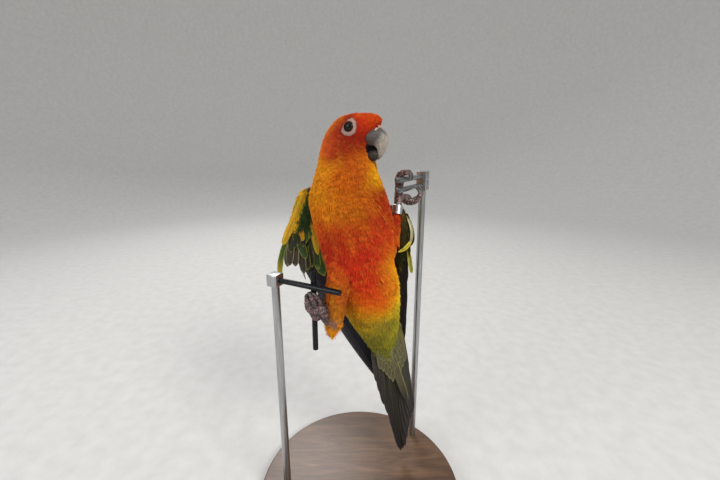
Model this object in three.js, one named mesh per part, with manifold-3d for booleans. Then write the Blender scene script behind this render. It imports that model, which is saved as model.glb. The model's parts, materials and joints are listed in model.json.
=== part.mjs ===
// A sun conure at life size, clinging to short lengths of cage wire on a plain display stand.
// Millimetres, +Z up. The origin is the centre of the base's underside, and the bird faces -Y.
import * as THREE from "three";
import { mergeVertices } from "three/addons/utils/BufferGeometryUtils.js";
import Module from "manifold-3d";

const wasm = await Module();
wasm.setup();

const gap = 0.3; // left between pieces that touch
const grain = 0.03; // slivers thinner than this are closed
const vec = (x, y, z) => new THREE.Vector3(x, y, z);
const radians = THREE.MathUtils.degToRad;
const mix = THREE.MathUtils.lerp;

// Head, neck and torso as level slices: height, axis, turn of the front towards +X in degrees,
// reach in front of and behind the axis, and half width.
const slices = [
  { z: 312.5, x: -4, y: 1, turn: 62, front: 20.4, back: 15.6, half: 11.8 }, // forehead
  { z: 307, x: -5, y: 1, turn: 62, front: 19.4, back: 19.6, half: 13.8 }, // eyes
  { z: 300, x: -5.8, y: 1.5, turn: 60, front: 16.2, back: 22.5, half: 14.8 }, // cheeks
  { z: 293, x: -7, y: 2.5, turn: 56, front: 18.2, back: 24.4, half: 16.2 }, // throat
  { z: 284, x: -8.8, y: 3, turn: 48, front: 21.6, back: 24.2, half: 19.2 }, // neck
  { z: 274, x: -9.2, y: 2.5, turn: 37, front: 23.4, back: 23, half: 24.5 },
  { z: 262, x: -8.4, y: 2, turn: 26, front: 24.5, back: 22, half: 29 }, // shoulders
  { z: 249, x: -6, y: 1.5, turn: 19, front: 27, back: 22.5, half: 31 }, // breast
  { z: 234, x: -3.4, y: 1.5, turn: 16, front: 28.5, back: 22, half: 30 },
  { z: 215, x: -0.2, y: 2, turn: 14, front: 28, back: 21, half: 27.5 }, // belly
  { z: 196, x: 4.2, y: 2.5, turn: 13, front: 25.5, back: 19.5, half: 25.5 },
  { z: 178, x: 8.2, y: 4, turn: 12, front: 21, back: 17.5, half: 23.3 },
  { z: 162, x: 12.2, y: 6.5, turn: 11, front: 16, back: 14.5, half: 19.4 }, // vent
  { z: 147, x: 16.6, y: 9, turn: 10, front: 11, back: 11, half: 15.4 },
  { z: 134, x: 20.6, y: 11.5, turn: 9, front: 7, back: 8, half: 11.9 }, // tail coverts
];
const crown = { z: 318.6, x: -0.4, y: -1 };
const rump = { z: 119, x: 25.2, y: 13.5 };
const sides = 24; // corners of a slice

const headCut = 283; // heights of the thin cuts that part the bird
const neckCut = 264;
const tailCut = 151;

// Head
const faceAxis = { x: -5, y: 1, z: 307, turn: 62 };
const eyeBall = { forward: 4, up: 1.9, out: 10, radius: 4.2 };
const eyeRing = { inner: 2.8, outer: 5.6, rise: 0.9, out: 13.3 };
const nostril = { forward: 17.6, up: 1.6, side: 3, radius: 0.8 };

// Wires and stand
const wireRadius = 2;
const frontOut = vec(-0.4617, -0.887, 0); // out of the cage's front wall
const sideOut = vec(0.891, -0.454, 0); // out of its side wall
const frontWire = {
  foot: vec(-30.6, -26.7, 203.4),
  along: vec(-0.887, 0.4617, 0),
  from: -20,
  to: 40,
  clamp: 35,
};
const uprightWire = { foot: vec(-32.2, -22.2, 188), along: vec(0, 0, 1), from: -34, to: 26 };
const sideWire = { foot: vec(35.7, 17.3, 266.4), along: vec(0.454, 0.891, 0), from: -20, to: 45, clamp: 40 };
const wireRise = 7.2; // from the side's lower wire to its upper one
const base = { radius: 86, height: 10, edge: 1.5 };
const rodRadius = 3;
const clampSize = { long: 9, wide: 9, tall: 9 };

const plumage = (colour) => new THREE.MeshStandardMaterial({ color: colour, roughness: 0.75, metalness: 0 });
const materials = {
  head: plumage(0xe8641e),
  neck: plumage(0xf08a1a),
  torso: plumage(0xe2521c),
  wing: plumage(0x6f8a1e),
  tail: plumage(0x4d5230),
  thigh: plumage(0xe27a1c),
  foot: new THREE.MeshStandardMaterial({ color: 0x8a6e68, roughness: 0.7, metalness: 0 }),
  claw: new THREE.MeshStandardMaterial({ color: 0x2a2523, roughness: 0.4, metalness: 0 }),
  beak: new THREE.MeshStandardMaterial({ color: 0x35312f, roughness: 0.4, metalness: 0 }),
  eye: new THREE.MeshStandardMaterial({ color: 0x120c0a, roughness: 0.08, metalness: 0 }),
  band: new THREE.MeshStandardMaterial({ color: 0xb9bcc0, roughness: 0.35, metalness: 1 }),
  wire: new THREE.MeshStandardMaterial({ color: 0x17181b, roughness: 0.35, metalness: 0.2 }),
  steel: new THREE.MeshStandardMaterial({ color: 0x8c8f93, roughness: 0.35, metalness: 1 }),
  wood: new THREE.MeshStandardMaterial({ color: 0x5a3b25, roughness: 0.5, metalness: 0 }),
};

// Solids and meshes

function solidOf(geometry) {
  const bare = new THREE.BufferGeometry();
  const source = geometry.index ? geometry.toNonIndexed() : geometry;
  bare.setAttribute("position", source.getAttribute("position"));
  const merged = mergeVertices(bare, 1e-4);
  const build = (triVerts) =>
    new wasm.Manifold(
      new wasm.Mesh({ numProp: 3, vertProperties: merged.attributes.position.array, triVerts }),
    );
  const corners = new Uint32Array(merged.index.array);
  const solid = build(corners);
  if (solid.volume() > 0) return solid;
  return build(corners.map((_, i) => corners[i - (i % 3) + (2 - (i % 3))]));
}

const join = (pieces) => pieces.reduce((sum, piece) => sum.add(piece));
const largest = (solid) => solid.decompose().reduce((a, b) => (b.volume() > a.volume() ? b : a));

function meshOf(name, solid, material) {
  const made = largest(solid.asOriginal().simplify(grain)).getMesh();
  const points = new Float32Array(made.numVert * 3);
  for (let i = 0; i < made.numVert; i++) {
    points.set(made.vertProperties.subarray(i * made.numProp, i * made.numProp + 3), i * 3);
  }
  const geometry = new THREE.BufferGeometry()
    .setAttribute("position", new THREE.BufferAttribute(points, 3))
    .setIndex(new THREE.BufferAttribute(new Uint32Array(made.triVerts), 1));
  geometry.computeVertexNormals();
  const mesh = new THREE.Mesh(geometry, material);
  mesh.name = name;
  return mesh;
}

// A closed skin over rings of the same number of points; ends are points or flat caps.
function shell(rings, firstPoint, lastPoint) {
  const count = rings[0].length;
  const middle = (ring) => ring.reduce((sum, p) => sum.add(p), vec(0, 0, 0)).divideScalar(ring.length);
  const points = [firstPoint ?? middle(rings[0]), ...rings.flat(), lastPoint ?? middle(rings.at(-1))];
  const corner = (row, i) => 1 + row * count + (i % count);
  const faces = [];
  for (let i = 0; i < count; i++) {
    faces.push(0, corner(0, i + 1), corner(0, i));
    for (let row = 0; row + 1 < rings.length; row++) {
      faces.push(corner(row, i), corner(row, i + 1), corner(row + 1, i + 1));
      faces.push(corner(row, i), corner(row + 1, i + 1), corner(row + 1, i));
    }
    faces.push(points.length - 1, corner(rings.length - 1, i), corner(rings.length - 1, i + 1));
  }
  const geometry = new THREE.BufferGeometry();
  geometry.setAttribute("position", new THREE.Float32BufferAttribute(points.flatMap((p) => p.toArray()), 3));
  geometry.setIndex(faces);
  return solidOf(geometry);
}

// A round limb through points with a radius at each; its ends close to a dome.
function limb(points, radii, corners = 8, steps = 3) {
  const path = new THREE.CatmullRomCurve3(points);
  const last = (points.length - 1) * steps;
  const frames = path.computeFrenetFrames(last, false);
  const rings = [];
  for (let k = 0; k <= last; k++) {
    const t = k / last;
    const centre = path.getPoint(t);
    const at = Math.min(Math.floor(k / steps), radii.length - 2);
    const radius = mix(radii[at], radii[at + 1], k / steps - at);
    rings.push(
      Array.from({ length: corners }, (_, i) => {
        const turn = (i / corners) * Math.PI * 2;
        return centre
          .clone()
          .addScaledVector(frames.normals[k], Math.cos(turn) * radius)
          .addScaledVector(frames.binormals[k], Math.sin(turn) * radius);
      }),
    );
  }
  const before = points[0].clone().addScaledVector(frames.tangents[0], -radii[0] * 0.6);
  const after = points.at(-1).clone().addScaledVector(frames.tangents[last], radii.at(-1) * 0.6);
  return shell(rings, before, after);
}

// Head, neck and torso in one

const smooth = (a, b, c, d, t) =>
  0.5 * (2 * b + (c - a) * t + (2 * a - 5 * b + 4 * c - d) * t * t + (3 * b - a - 3 * c + d) * t * t * t);

function sliceAt(z) {
  const below = slices.findIndex((s) => s.z <= z);
  const i = THREE.MathUtils.clamp(below < 0 ? slices.length - 1 : below, 1, slices.length - 1);
  const near = [i - 2, i - 1, i, i + 1].map((k) => slices[THREE.MathUtils.clamp(k, 0, slices.length - 1)]);
  const t = (near[1].z - z) / (near[1].z - near[2].z);
  const blend = (key) => smooth(near[0][key], near[1][key], near[2][key], near[3][key], t);
  return Object.fromEntries(["x", "y", "turn", "front", "back", "half"].map((key) => [key, blend(key)]));
}

function sliceRing(slice, z, scale, grow) {
  const turn = radians(slice.turn);
  const ahead = vec(Math.sin(turn), -Math.cos(turn), 0);
  const across = vec(Math.cos(turn), Math.sin(turn), 0);
  return Array.from({ length: sides }, (_, i) => {
    const angle = (i / sides) * Math.PI * 2;
    const reach = (Math.cos(angle) > 0 ? slice.front : slice.back) * scale + grow;
    return vec(slice.x, slice.y, z)
      .addScaledVector(ahead, Math.cos(angle) * reach)
      .addScaledVector(across, Math.sin(angle) * (slice.half * scale + grow));
  });
}

function trunk(grow = 0) {
  const top = slices[0];
  const end = slices.at(-1);
  const rings = [];
  const dome = (from, to, turns) => {
    for (const share of turns) {
      const scale = Math.cos((share * Math.PI) / 2) ** 0.85;
      const lift = Math.sin((share * Math.PI) / 2);
      const slice = { ...from, x: mix(from.x, to.x, lift), y: mix(from.y, to.y, lift) };
      const z = mix(from.z, to.z + Math.sign(to.z - from.z) * grow, lift);
      rings.push(sliceRing(slice, z, scale, grow * scale));
    }
  };
  dome(top, crown, [0.86, 0.68, 0.46, 0.24]);
  for (let z = top.z; z > end.z; z -= 6.5) rings.push(sliceRing(sliceAt(z), z, 1, grow));
  dome(end, rump, [0, 0.3, 0.6, 0.85]);
  return shell(rings, vec(crown.x, crown.y, crown.z + grow), vec(rump.x, rump.y, rump.z - grow));
}

const slab = (z, thick) => solidOf(new THREE.BoxGeometry(200, 200, thick).translate(0, 0, z));
const half = (z, up) => solidOf(new THREE.BoxGeometry(400, 400, 400).translate(0, 0, z + (up ? 200 : -200)));

// The face's own directions: forward along the bill, out to a side, up.
const faceTurn = radians(faceAxis.turn);
const faceForward = vec(Math.sin(faceTurn), -Math.cos(faceTurn), 0);
const faceRight = vec(-Math.cos(faceTurn), -Math.sin(faceTurn), 0);
const facePoint = (forward, up, right = 0) =>
  vec(faceAxis.x, faceAxis.y, faceAxis.z + up)
    .addScaledVector(faceForward, forward)
    .addScaledVector(faceRight, right);

// A bill half: stations along its middle line with the tangent's slope, half height and half width.
function bill(stations, tip, grow = 0) {
  const corners = 16;
  const rings = stations.map((s) => {
    const slope = radians(s.slope);
    return Array.from({ length: corners }, (_, i) => {
      const angle = (i / corners) * Math.PI * 2;
      const high = Math.cos(angle) * (s.high + grow);
      const pinch = Math.cos(angle) > 0 ? mix(1, s.ridge ?? 1, Math.cos(angle)) : 1;
      const side = Math.sin(angle) * (s.wide + grow) * pinch;
      return facePoint(s.forward - Math.sin(slope) * high, s.up + Math.cos(slope) * high, side);
    });
  });
  return shell(rings, null, facePoint(tip.forward, tip.up));
}
const upperBill = [
  { forward: 7, up: -4, slope: 0, high: 6, wide: 6 },
  { forward: 13, up: -3.6, slope: -2, high: 6.6, wide: 6.8 },
  { forward: 17.5, up: -3.8, slope: -12, high: 6.4, wide: 6.4, ridge: 0.85 },
  { forward: 21.2, up: -6, slope: -38, high: 5.9, wide: 5.4, ridge: 0.8 },
  { forward: 22.5, up: -9.6, slope: -64, high: 4.6, wide: 4.3, ridge: 0.75 },
  { forward: 21.6, up: -13.2, slope: -88, high: 3.1, wide: 3.2, ridge: 0.75 },
  { forward: 20.4, up: -16.4, slope: -112, high: 1.8, wide: 1.9, ridge: 0.8 },
];
const upperTip = { forward: 18.6, up: -19.4 };
const lowerBill = [
  { forward: 6, up: -16.8, slope: 4, high: 3.6, wide: 5.4 },
  { forward: 11, up: -16.8, slope: 5, high: 3.8, wide: 5.4 },
  { forward: 14.6, up: -16.5, slope: 12, high: 3.3, wide: 5 },
  { forward: 16.8, up: -15.8, slope: 24, high: 2.8, wide: 4.3 },
  { forward: 18, up: -15, slope: 36, high: 2, wide: 3.3 },
];
const lowerTip = { forward: 18.6, up: -14.5 };

const eyeAt = (side) => facePoint(eyeBall.forward, eyeBall.up, side * eyeBall.out);
const eyeSolid = (side, grow = 0) =>
  solidOf(new THREE.IcosahedronGeometry(eyeBall.radius + grow, 2).translate(...eyeAt(side).toArray()));

// The bare ring of lids round an eye, turned a little forward as the head narrows.
function lids(side) {
  const profile = [
    [eyeRing.inner, -3],
    [eyeRing.outer + 0.4, -3],
    [eyeRing.outer, -0.2],
    [eyeRing.outer - 0.9, eyeRing.rise * 0.7],
    [(eyeRing.inner + eyeRing.outer) / 2, eyeRing.rise],
    [eyeRing.inner + 0.2, eyeRing.rise * 0.9],
    [eyeRing.inner, -3],
  ].map(([r, y]) => new THREE.Vector2(r, y));
  const outward = faceRight.clone().multiplyScalar(side).addScaledVector(faceForward, 0.15);
  outward.z += 0.22;
  outward.normalize();
  const turn = new THREE.Quaternion().setFromUnitVectors(vec(0, 1, 0), outward);
  const place = facePoint(eyeBall.forward + 0.3, eyeBall.up, side * (eyeRing.out - 0.4));
  return solidOf(
    new THREE.LatheGeometry(profile, 18).applyQuaternion(turn).translate(...place.toArray()),
  );
}

// Feathers

// A sheet that a wing or the tail lies on: along it, across it with a bend, and out of it.
function sheet({ origin, along, across, bend }) {
  const down = along.clone().normalize();
  const out = new THREE.Vector3().crossVectors(down, across).normalize();
  const side = new THREE.Vector3().crossVectors(out, down).normalize();
  const radius = Math.abs(bend);
  return (s, t, h) => {
    const turn = t / radius;
    const reach = Math.sin(turn) * (radius + h);
    const drop = Math.cos(turn) * (radius + h) - radius;
    return origin.clone().addScaledVector(down, s).addScaledVector(side, reach).addScaledVector(out, drop);
  };
}

const blunt = (value) => Math.sign(value) * Math.abs(value) ** 0.7;

// A closed body on a sheet: stations along it with middle, half width, and floor and roof heights.
function slabOn(place, stations, corners = 12) {
  const rings = stations.map(({ s, t, wide, floor, roof }) =>
    Array.from({ length: corners }, (_, i) => {
      const angle = (i / corners) * Math.PI * 2 + 0.01;
      const high = (roof - floor) / 2;
      return place(s, t + blunt(Math.cos(angle)) * wide, (roof + floor) / 2 + blunt(Math.sin(angle)) * high);
    }),
  );
  return shell(rings, null, null);
}

// One feather: a plate on a sheet from root to tip, lying at a height, tipped sideways, four corners round.
function vane(place, plan) {
  const { root, tip, wide, height = 0, tilt = 0, thick = 0.6, profile = roundTip, lift = 0, bow = 0 } = plan;
  const run = { s: tip.s - root.s, t: tip.t - root.t };
  const length = Math.hypot(run.s, run.t);
  const rings = profile.map(([along, share]) => {
    const sag = bow * Math.sin(along * Math.PI);
    const s = root.s + run.s * along - (run.t / length) * sag;
    const t = root.t + run.t * along + (run.s / length) * sag;
    const edge = (side, level) => {
      const offset = (side * wide * share) / 2;
      const h = height + lift * along + tilt * offset + level;
      return place(s - (run.t / length) * offset, t + (run.s / length) * offset, h);
    };
    return [edge(-1, 0), edge(1, 0), edge(1, thick), edge(-1, thick)];
  });
  const ends = [0, profile.length - 1].map((k) => {
    const ring = rings[k];
    return ring.reduce((sum, p) => sum.add(p), vec(0, 0, 0)).divideScalar(4);
  });
  return shell(rings, ends[0], ends[1]);
}

// A row of feathers side by side, from the first to the last, each a little different.
function tier(place, plan) {
  const { count, first, last } = plan;
  const made = [];
  for (let i = 0; i < count; i++) {
    const k = count > 1 ? i / (count - 1) : 0;
    const blend = (key, part) => mix(first[key][part], last[key][part], k);
    const stray = (size) => (random() - 0.5) * size;
    made.push(
      vane(place, {
        ...plan,
        root: { s: blend("root", 0), t: blend("root", 1) },
        tip: { s: blend("tip", 0) + stray(2), t: blend("tip", 1) + stray(0.3) },
        wide: mix(first.wide, last.wide, k),
      }),
    );
  }
  return made;
}

let seed = 7;
function random() {
  seed = (seed * 16807) % 2147483647;
  return seed / 2147483647;
}
const coverTip = [
  [0, 0.6],
  [0.5, 1],
  [0.85, 0.9],
  [1, 0.3],
];
const strayFeather = { tilt: 0.1, thick: 0.6, profile: coverTip };
const roundTip = [
  [0, 0.55],
  [0.35, 0.95],
  [0.8, 1],
  [0.94, 0.7],
  [1, 0.22],
];
const tailTip = [
  [0, 0.8],
  [0.4, 1],
  [0.85, 0.8],
  [0.96, 0.5],
  [1, 0.15],
];
const pointedTip = [
  [0, 0.6],
  [0.3, 1],
  [0.65, 0.9],
  [0.9, 0.55],
  [1, 0.15],
];

// Parts of the bird

const whole = trunk();
const grownTrunk = trunk(gap);

function splitTrunk() {
  const parts = (solid, z) => [
    solid.intersect(half(z + gap / 2, true)),
    solid.intersect(half(z - gap / 2, false)),
  ];
  const [headPart, rest] = parts(whole, headCut);
  const [neckPart, lower] = parts(rest, neckCut);
  return { headPart, neckPart, torsoPart: parts(lower, tailCut)[0] };
}
const { headPart, neckPart, torsoPart } = splitTrunk();

const bird = new THREE.Group();
bird.name = "sun_conure";
const add = (name, solid, material) => bird.add(meshOf(name, solid, material));

// Wires and stand
function rodBetween(from, to, radius, corners = 16) {
  const length = from.distanceTo(to);
  const turn = new THREE.Quaternion().setFromUnitVectors(vec(0, 1, 0), to.clone().sub(from).normalize());
  const middle = from.clone().add(to).multiplyScalar(0.5);
  return solidOf(
    new THREE.CylinderGeometry(radius, radius, length, corners)
      .applyQuaternion(turn)
      .translate(...middle.toArray()),
  );
}
const onWire = (wire, t, rise = 0) => wire.foot.clone().addScaledVector(wire.along, t).add(vec(0, 0, rise));
const wireSolid = (wire, rise, grow = 0) =>
  rodBetween(onWire(wire, wire.from - grow, rise), onWire(wire, wire.to + grow, rise), wireRadius + grow);

function clampSolid(wire, rise, tall) {
  const yaw = Math.atan2(wire.along.y, wire.along.x);
  const middle = onWire(wire, wire.clamp, rise);
  return solidOf(
    new THREE.BoxGeometry(clampSize.long, clampSize.wide, tall).rotateZ(yaw).translate(...middle.toArray()),
  );
}

const lowWire = wireSolid(frontWire, 0).add(wireSolid(uprightWire, 0));
const upperWire = wireSolid(sideWire, wireRise);
const upperWireSecond = wireSolid(sideWire, 0);
const grownWires = join([
  wireSolid(frontWire, 0, gap),
  wireSolid(uprightWire, 0, gap),
  wireSolid(sideWire, wireRise, gap),
  wireSolid(sideWire, 0, gap),
]);
const lowClamp = clampSolid(frontWire, 0, clampSize.tall);
const highClamp = clampSolid(sideWire, wireRise / 2, clampSize.tall + wireRise);
const lowSocket = onWire(frontWire, frontWire.clamp, -clampSize.tall / 2);
const highSocket = onWire(sideWire, sideWire.clamp, -clampSize.tall / 2);
const rodTo = ({ x, y, z }) => rodBetween(vec(x, y, base.height + gap), vec(x, y, z - gap), rodRadius);
const baseProfile = [
  [0, 0],
  [base.radius, 0],
  [base.radius, base.height - base.edge],
  [base.radius - base.edge, base.height],
  [0, base.height],
].map(([r, y]) => new THREE.Vector2(r, y));
add("stand_base", solidOf(new THREE.LatheGeometry(baseProfile, 64).rotateX(Math.PI / 2)), materials.wood);
add("stand_rod_low", rodTo(lowSocket), materials.steel);
add("stand_rod_high", rodTo(highSocket), materials.steel);
add("stand_clamp_low", lowClamp.subtract(grownWires), materials.steel);
add("stand_clamp_high", highClamp.subtract(grownWires), materials.steel);
add("perch_wire_lower", lowWire, materials.wire);
add("perch_wire_upper", upperWire, materials.wire);
add("perch_wire_upper_second", upperWireSecond, materials.wire);
add("torso", torsoPart, materials.torso);
add("neck", neckPart, materials.neck);
const nostrils = [1, -1].map((side) =>
  rodBetween(
    facePoint(nostril.forward - 4, nostril.up, side * nostril.side),
    facePoint(nostril.forward + 4, nostril.up, side * nostril.side),
    nostril.radius,
    8,
  ),
);
const faceRoom = join([
  bill(upperBill, upperTip, gap),
  bill(lowerBill, lowerTip, gap),
  eyeSolid(1, gap),
  eyeSolid(-1, gap),
  ...nostrils,
]);
add("head", join([headPart, lids(1), lids(-1)]).subtract(faceRoom), materials.head);
add("eye_right", eyeSolid(1), materials.eye);
add("eye_left", eyeSolid(-1), materials.eye);
add("beak_upper", bill(upperBill, upperTip), materials.beak);
add("beak_lower", bill(lowerBill, lowerTip).subtract(bill(upperBill, upperTip, gap)), materials.beak);

// Legs
const rightThigh = (grow) =>
  limb(
    [
      vec(-9, -9, 226),
      vec(-14.2, -17.6, 207),
      vec(-17.2, -21.2, 190),
      vec(-18.5, -22, 176),
      vec(-20.5, -22, 166.5),
    ],
    [12, 8.8, 7.4, 6.2, 2.4].map((r) => r + grow),
    14,
    2,
  );
const leftThigh = (grow) =>
  limb(
    [vec(14, -4, 212), vec(20.5, 1, 219), vec(24, 5.5, 230), vec(26.4, 9, 241), vec(27.4, 11.2, 246)],
    [9, 8, 6.6, 5.2, 3.6].map((r) => r + grow),
    14,
    2,
  );

// A spot beside a wire: how far along it, how far round it from out towards over, how far off it.
function besideWire(wire, t, rise, angle, out) {
  return onWire(wire, t, rise)
    .addScaledVector(wire.out, Math.cos(radians(angle)) * out)
    .addScaledVector(wire.over, Math.sin(radians(angle)) * out);
}
const toeThick = 2;
const hold = wireRadius + gap + toeThick;
const rightLeg = {
  wire: { ...uprightWire, out: frontOut, over: frontWire.along },
  tarsus: [vec(-19.6, -21.5, 170.5), vec(-23.4, -23.6, 179), vec(-26.4, -25.6, 187)],
  radii: [3, 4.2, 5.2],
  toes: [
    { t: 4.4, rise: 0, angles: [-52, -6, 38, 78], claw: [98, 128, 158], slack: 0.6 },
    { t: -0.6, rise: 0, angles: [-50, -4, 42, 84], claw: [104, 134, 164], slack: 0.6 },
    { t: 9, rise: 0, angles: [276, 232, 188, 146], claw: [124, 92, 60], slack: 0 },
    { t: -5.6, rise: 0, angles: [280, 236, 190, 148], claw: [126, 94, 62], slack: 0 },
  ],
};
const leftLeg = {
  wire: { ...sideWire, out: sideOut, over: vec(0, 0, 1) },
  tarsus: [vec(27.2, 10.5, 242), vec(28.4, 13.4, 251), vec(29.5, 17, 260)],
  radii: [2.8, 2.7, 3.4],
  toes: [
    { t: 1, rise: wireRise, angles: [200, 160, 118, 84], claw: [62, 36, 12], slack: 0 },
    { t: 7.5, rise: wireRise, angles: [206, 166, 122, 88], claw: [66, 40, 16], slack: 0 },
    { t: 9, rise: 0, angles: [232, 258, 288, 322], claw: [342, 358, 14], slack: 4.4 },
    { t: 17, rise: 0, angles: [234, 260, 290, 324], claw: [344, 0, 16], slack: 4.8 },
  ],
};
function toeSolid({ wire, tarsus }, toe, grow) {
  const around = toe.angles.map((angle, i) => {
    const off = hold + toe.slack * Math.sin(((i + 0.6) / 3.6) * Math.PI);
    return besideWire(wire, toe.t, toe.rise, angle, off + (i ? 0 : 0.8));
  });
  const points = [tarsus.at(-1), ...around];
  return limb(points, points.map((_, i) => mix(3, toeThick, i / (points.length - 1)) + grow), 8, 2);
}
function clawSolid({ wire }, toe, grow) {
  const tip = toe.angles.at(-1);
  const angles = [mix(tip, toe.claw[0], 0.35), ...toe.claw.slice(1)];
  const points = angles.map((angle, i) => besideWire(wire, toe.t, toe.rise, angle, hold - i * 0.35));
  return limb(points, [1.05 + grow, 0.85 + grow, 0.35 + grow], 6, 3);
}
const tarsusSolid = (leg, grow) => limb(leg.tarsus, leg.radii.map((r) => r + grow), 10, 2);
const clawsOf = (leg, grow = 0) => leg.toes.map((toe) => clawSolid(leg, toe, grow));
function footSolid(leg, grow = 0) {
  const pieces = [tarsusSolid(leg, grow), ...leg.toes.map((toe) => toeSolid(leg, toe, grow))];
  return join(pieces).subtract(grownWires).subtract(grownTrunk).subtract(join(clawsOf(leg, gap - grow)));
}

// Leg band
const bandAt = vec(28.3, 13, 250.6);
const bandWay = vec(1.8, 4.6, 13).normalize();
const bandTurn = new THREE.Quaternion().setFromUnitVectors(vec(0, 1, 0), bandWay);
const bandSize = { inner: 3.4, outer: 4.2, tall: 7 };
const bandProfile = [
  [bandSize.inner, -bandSize.tall / 2],
  [bandSize.outer, -bandSize.tall / 2],
  [bandSize.outer, bandSize.tall / 2],
  [bandSize.inner, bandSize.tall / 2],
  [bandSize.inner, -bandSize.tall / 2],
].map(([r, y]) => new THREE.Vector2(r, y));
const band = solidOf(
  new THREE.LatheGeometry(bandProfile, 28).applyQuaternion(bandTurn).translate(...bandAt.toArray()),
);
const bandRoom = rodBetween(
  bandAt.clone().addScaledVector(bandWay, -bandSize.tall / 2 - gap),
  bandAt.clone().addScaledVector(bandWay, bandSize.tall / 2 + gap),
  bandSize.outer + gap,
  28,
);

// Wings
const rightSheet = sheet({
  origin: vec(-57, 12, 228),
  along: vec(0.45, 0.04, -0.893),
  across: vec(0.89, -0.15, 0.45),
  bend: -90,
});
const leftSheet = sheet({
  origin: vec(33.3, 9, 245),
  along: vec(0.052, 0.1, -0.99),
  across: vec(-0.5, 0.86, 0.05),
  bend: 46,
});

// The right wing hangs open: t runs from its leading edge in towards the body, h towards the front.
const rightFeathers = [
  ...tier(rightSheet, {
    count: 8,
    tilt: 0.44,
    profile: pointedTip,
    bow: -2.5,
    first: { root: [12, 3], tip: [149, 8], wide: 8.5 },
    last: { root: [14, 20], tip: [92, 22], wide: 9.5 },
  }),
  ...tier(rightSheet, {
    count: 6,
    tilt: 0.36,
    profile: roundTip,
    first: { root: [10, 22.5], tip: [86, 25], wide: 10 },
    last: { root: [-8, 36], tip: [66, 38], wide: 9 },
  }),
  ...tier(rightSheet, {
    count: 6,
    height: 1.9,
    lift: 0.5,
    tilt: 0.26,
    profile: coverTip,
    first: { root: [-2, 7], tip: [21, -8], wide: 8 },
    last: { root: [-14, 30], tip: [37, 24], wide: 9.5 },
  }),
  ...tier(rightSheet, {
    count: 5,
    height: 3.6,
    lift: 0.9,
    tilt: 0.2,
    profile: coverTip,
    first: { root: [-6, 10], tip: [9, 0], wide: 7.5 },
    last: { root: [-22, 31], tip: [6, 25], wide: 9 },
  }),
  ...tier(rightSheet, {
    count: 3,
    height: 4.8,
    lift: 0.6,
    tilt: 0.16,
    profile: coverTip,
    first: { root: [-25, 32], tip: [-9, 13], wide: 7.5 },
    last: { root: [-14, 20], tip: [2, -1], wide: 7.5 },
  }),
  ...tier(rightSheet, {
    count: 6,
    height: -2.6,
    lift: -0.5,
    tilt: 0.26,
    profile: coverTip,
    first: { root: [0, 6], tip: [27, 0], wide: 9 },
    last: { root: [-14, 32], tip: [36, 33], wide: 9.5 },
  }),
  ...tier(rightSheet, {
    count: 5,
    height: -4.4,
    lift: -0.9,
    tilt: 0.2,
    profile: coverTip,
    first: { root: [-5, 11], tip: [12, 3], wide: 8.5 },
    last: { root: [-22, 32], tip: [12, 32], wide: 9.5 },
  }),
  vane(rightSheet, {
    ...strayFeather,
    root: { s: -6, t: 18 },
    tip: { s: 39, t: 13 },
    wide: 9,
    height: 2.9,
  }),
  vane(rightSheet, {
    ...strayFeather,
    root: { s: -2, t: 3 },
    tip: { s: 30, t: -24 },
    wide: 5,
    bow: 5,
    height: 1,
  }),
  vane(rightSheet, {
    ...strayFeather,
    root: { s: -2, t: 5 },
    tip: { s: 20.5, t: -12 },
    wide: 7,
    height: -0.4,
  }),
];
const rightArm = slabOn(rightSheet, [
  { s: -27, t: 32, wide: 6, floor: -4, roof: 4 },
  { s: -16, t: 27.5, wide: 12.5, floor: -6, roof: 5.4 },
  { s: -6, t: 20.5, wide: 15.5, floor: -6, roof: 5.4 },
  { s: 4, t: 14.2, wide: 14.4, floor: -3.8, roof: 3.6 },
  { s: 14, t: 12, wide: 12, floor: -1.6, roof: 2 },
  { s: 21, t: 11, wide: 9, floor: -0.8, roof: 1.2 },
]);
const rightWing = join([rightArm, ...rightFeathers]);

// The left wing is folded: t runs from its leading edge back over the body, h outwards.
const leftFeathers = [
  ...tier(leftSheet, {
    count: 7,
    tilt: -0.44,
    profile: pointedTip,
    first: { root: [36, 3], tip: [142, 10], wide: 9 },
    last: { root: [42, 18], tip: [98, 23], wide: 10 },
  }),
  ...tier(leftSheet, {
    count: 6,
    tilt: -0.36,
    profile: roundTip,
    first: { root: [41, 20.5], tip: [92, 26], wide: 10 },
    last: { root: [34, 36], tip: [76, 40], wide: 9 },
  }),
  ...tier(leftSheet, {
    count: 6,
    height: 1.9,
    lift: 0.6,
    tilt: -0.26,
    profile: coverTip,
    first: { root: [18, 5], tip: [58, 4], wide: 9 },
    last: { root: [22, 31], tip: [56, 35], wide: 9.5 },
  }),
  ...tier(leftSheet, {
    count: 6,
    height: 3.4,
    lift: 0.9,
    tilt: -0.24,
    profile: coverTip,
    first: { root: [6, 4], tip: [35, 2], wide: 8.5 },
    last: { root: [10, 28], tip: [36, 31], wide: 9.5 },
  }),
  ...tier(leftSheet, {
    count: 5,
    height: 4.7,
    lift: 1,
    tilt: -0.22,
    profile: coverTip,
    first: { root: [-2, 4], tip: [17, 1], wide: 8.5 },
    last: { root: [0, 23], tip: [20, 26], wide: 9 },
  }),
];
const leftArm = slabOn(leftSheet, [
  { s: -8, t: 10, wide: 7, floor: -2, roof: 4 },
  { s: 4, t: 14, wide: 14, floor: -2.6, roof: 6.4 },
  { s: 18, t: 17, wide: 17, floor: -2.6, roof: 6 },
  { s: 30, t: 19, wide: 18, floor: -2.2, roof: 4.4 },
  { s: 42, t: 19, wide: 17, floor: -1.8, roof: 2 },
  { s: 48, t: 19, wide: 15, floor: -1.2, roof: 1.2 },
]);
const leftWing = join([leftArm, ...leftFeathers]);

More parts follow.
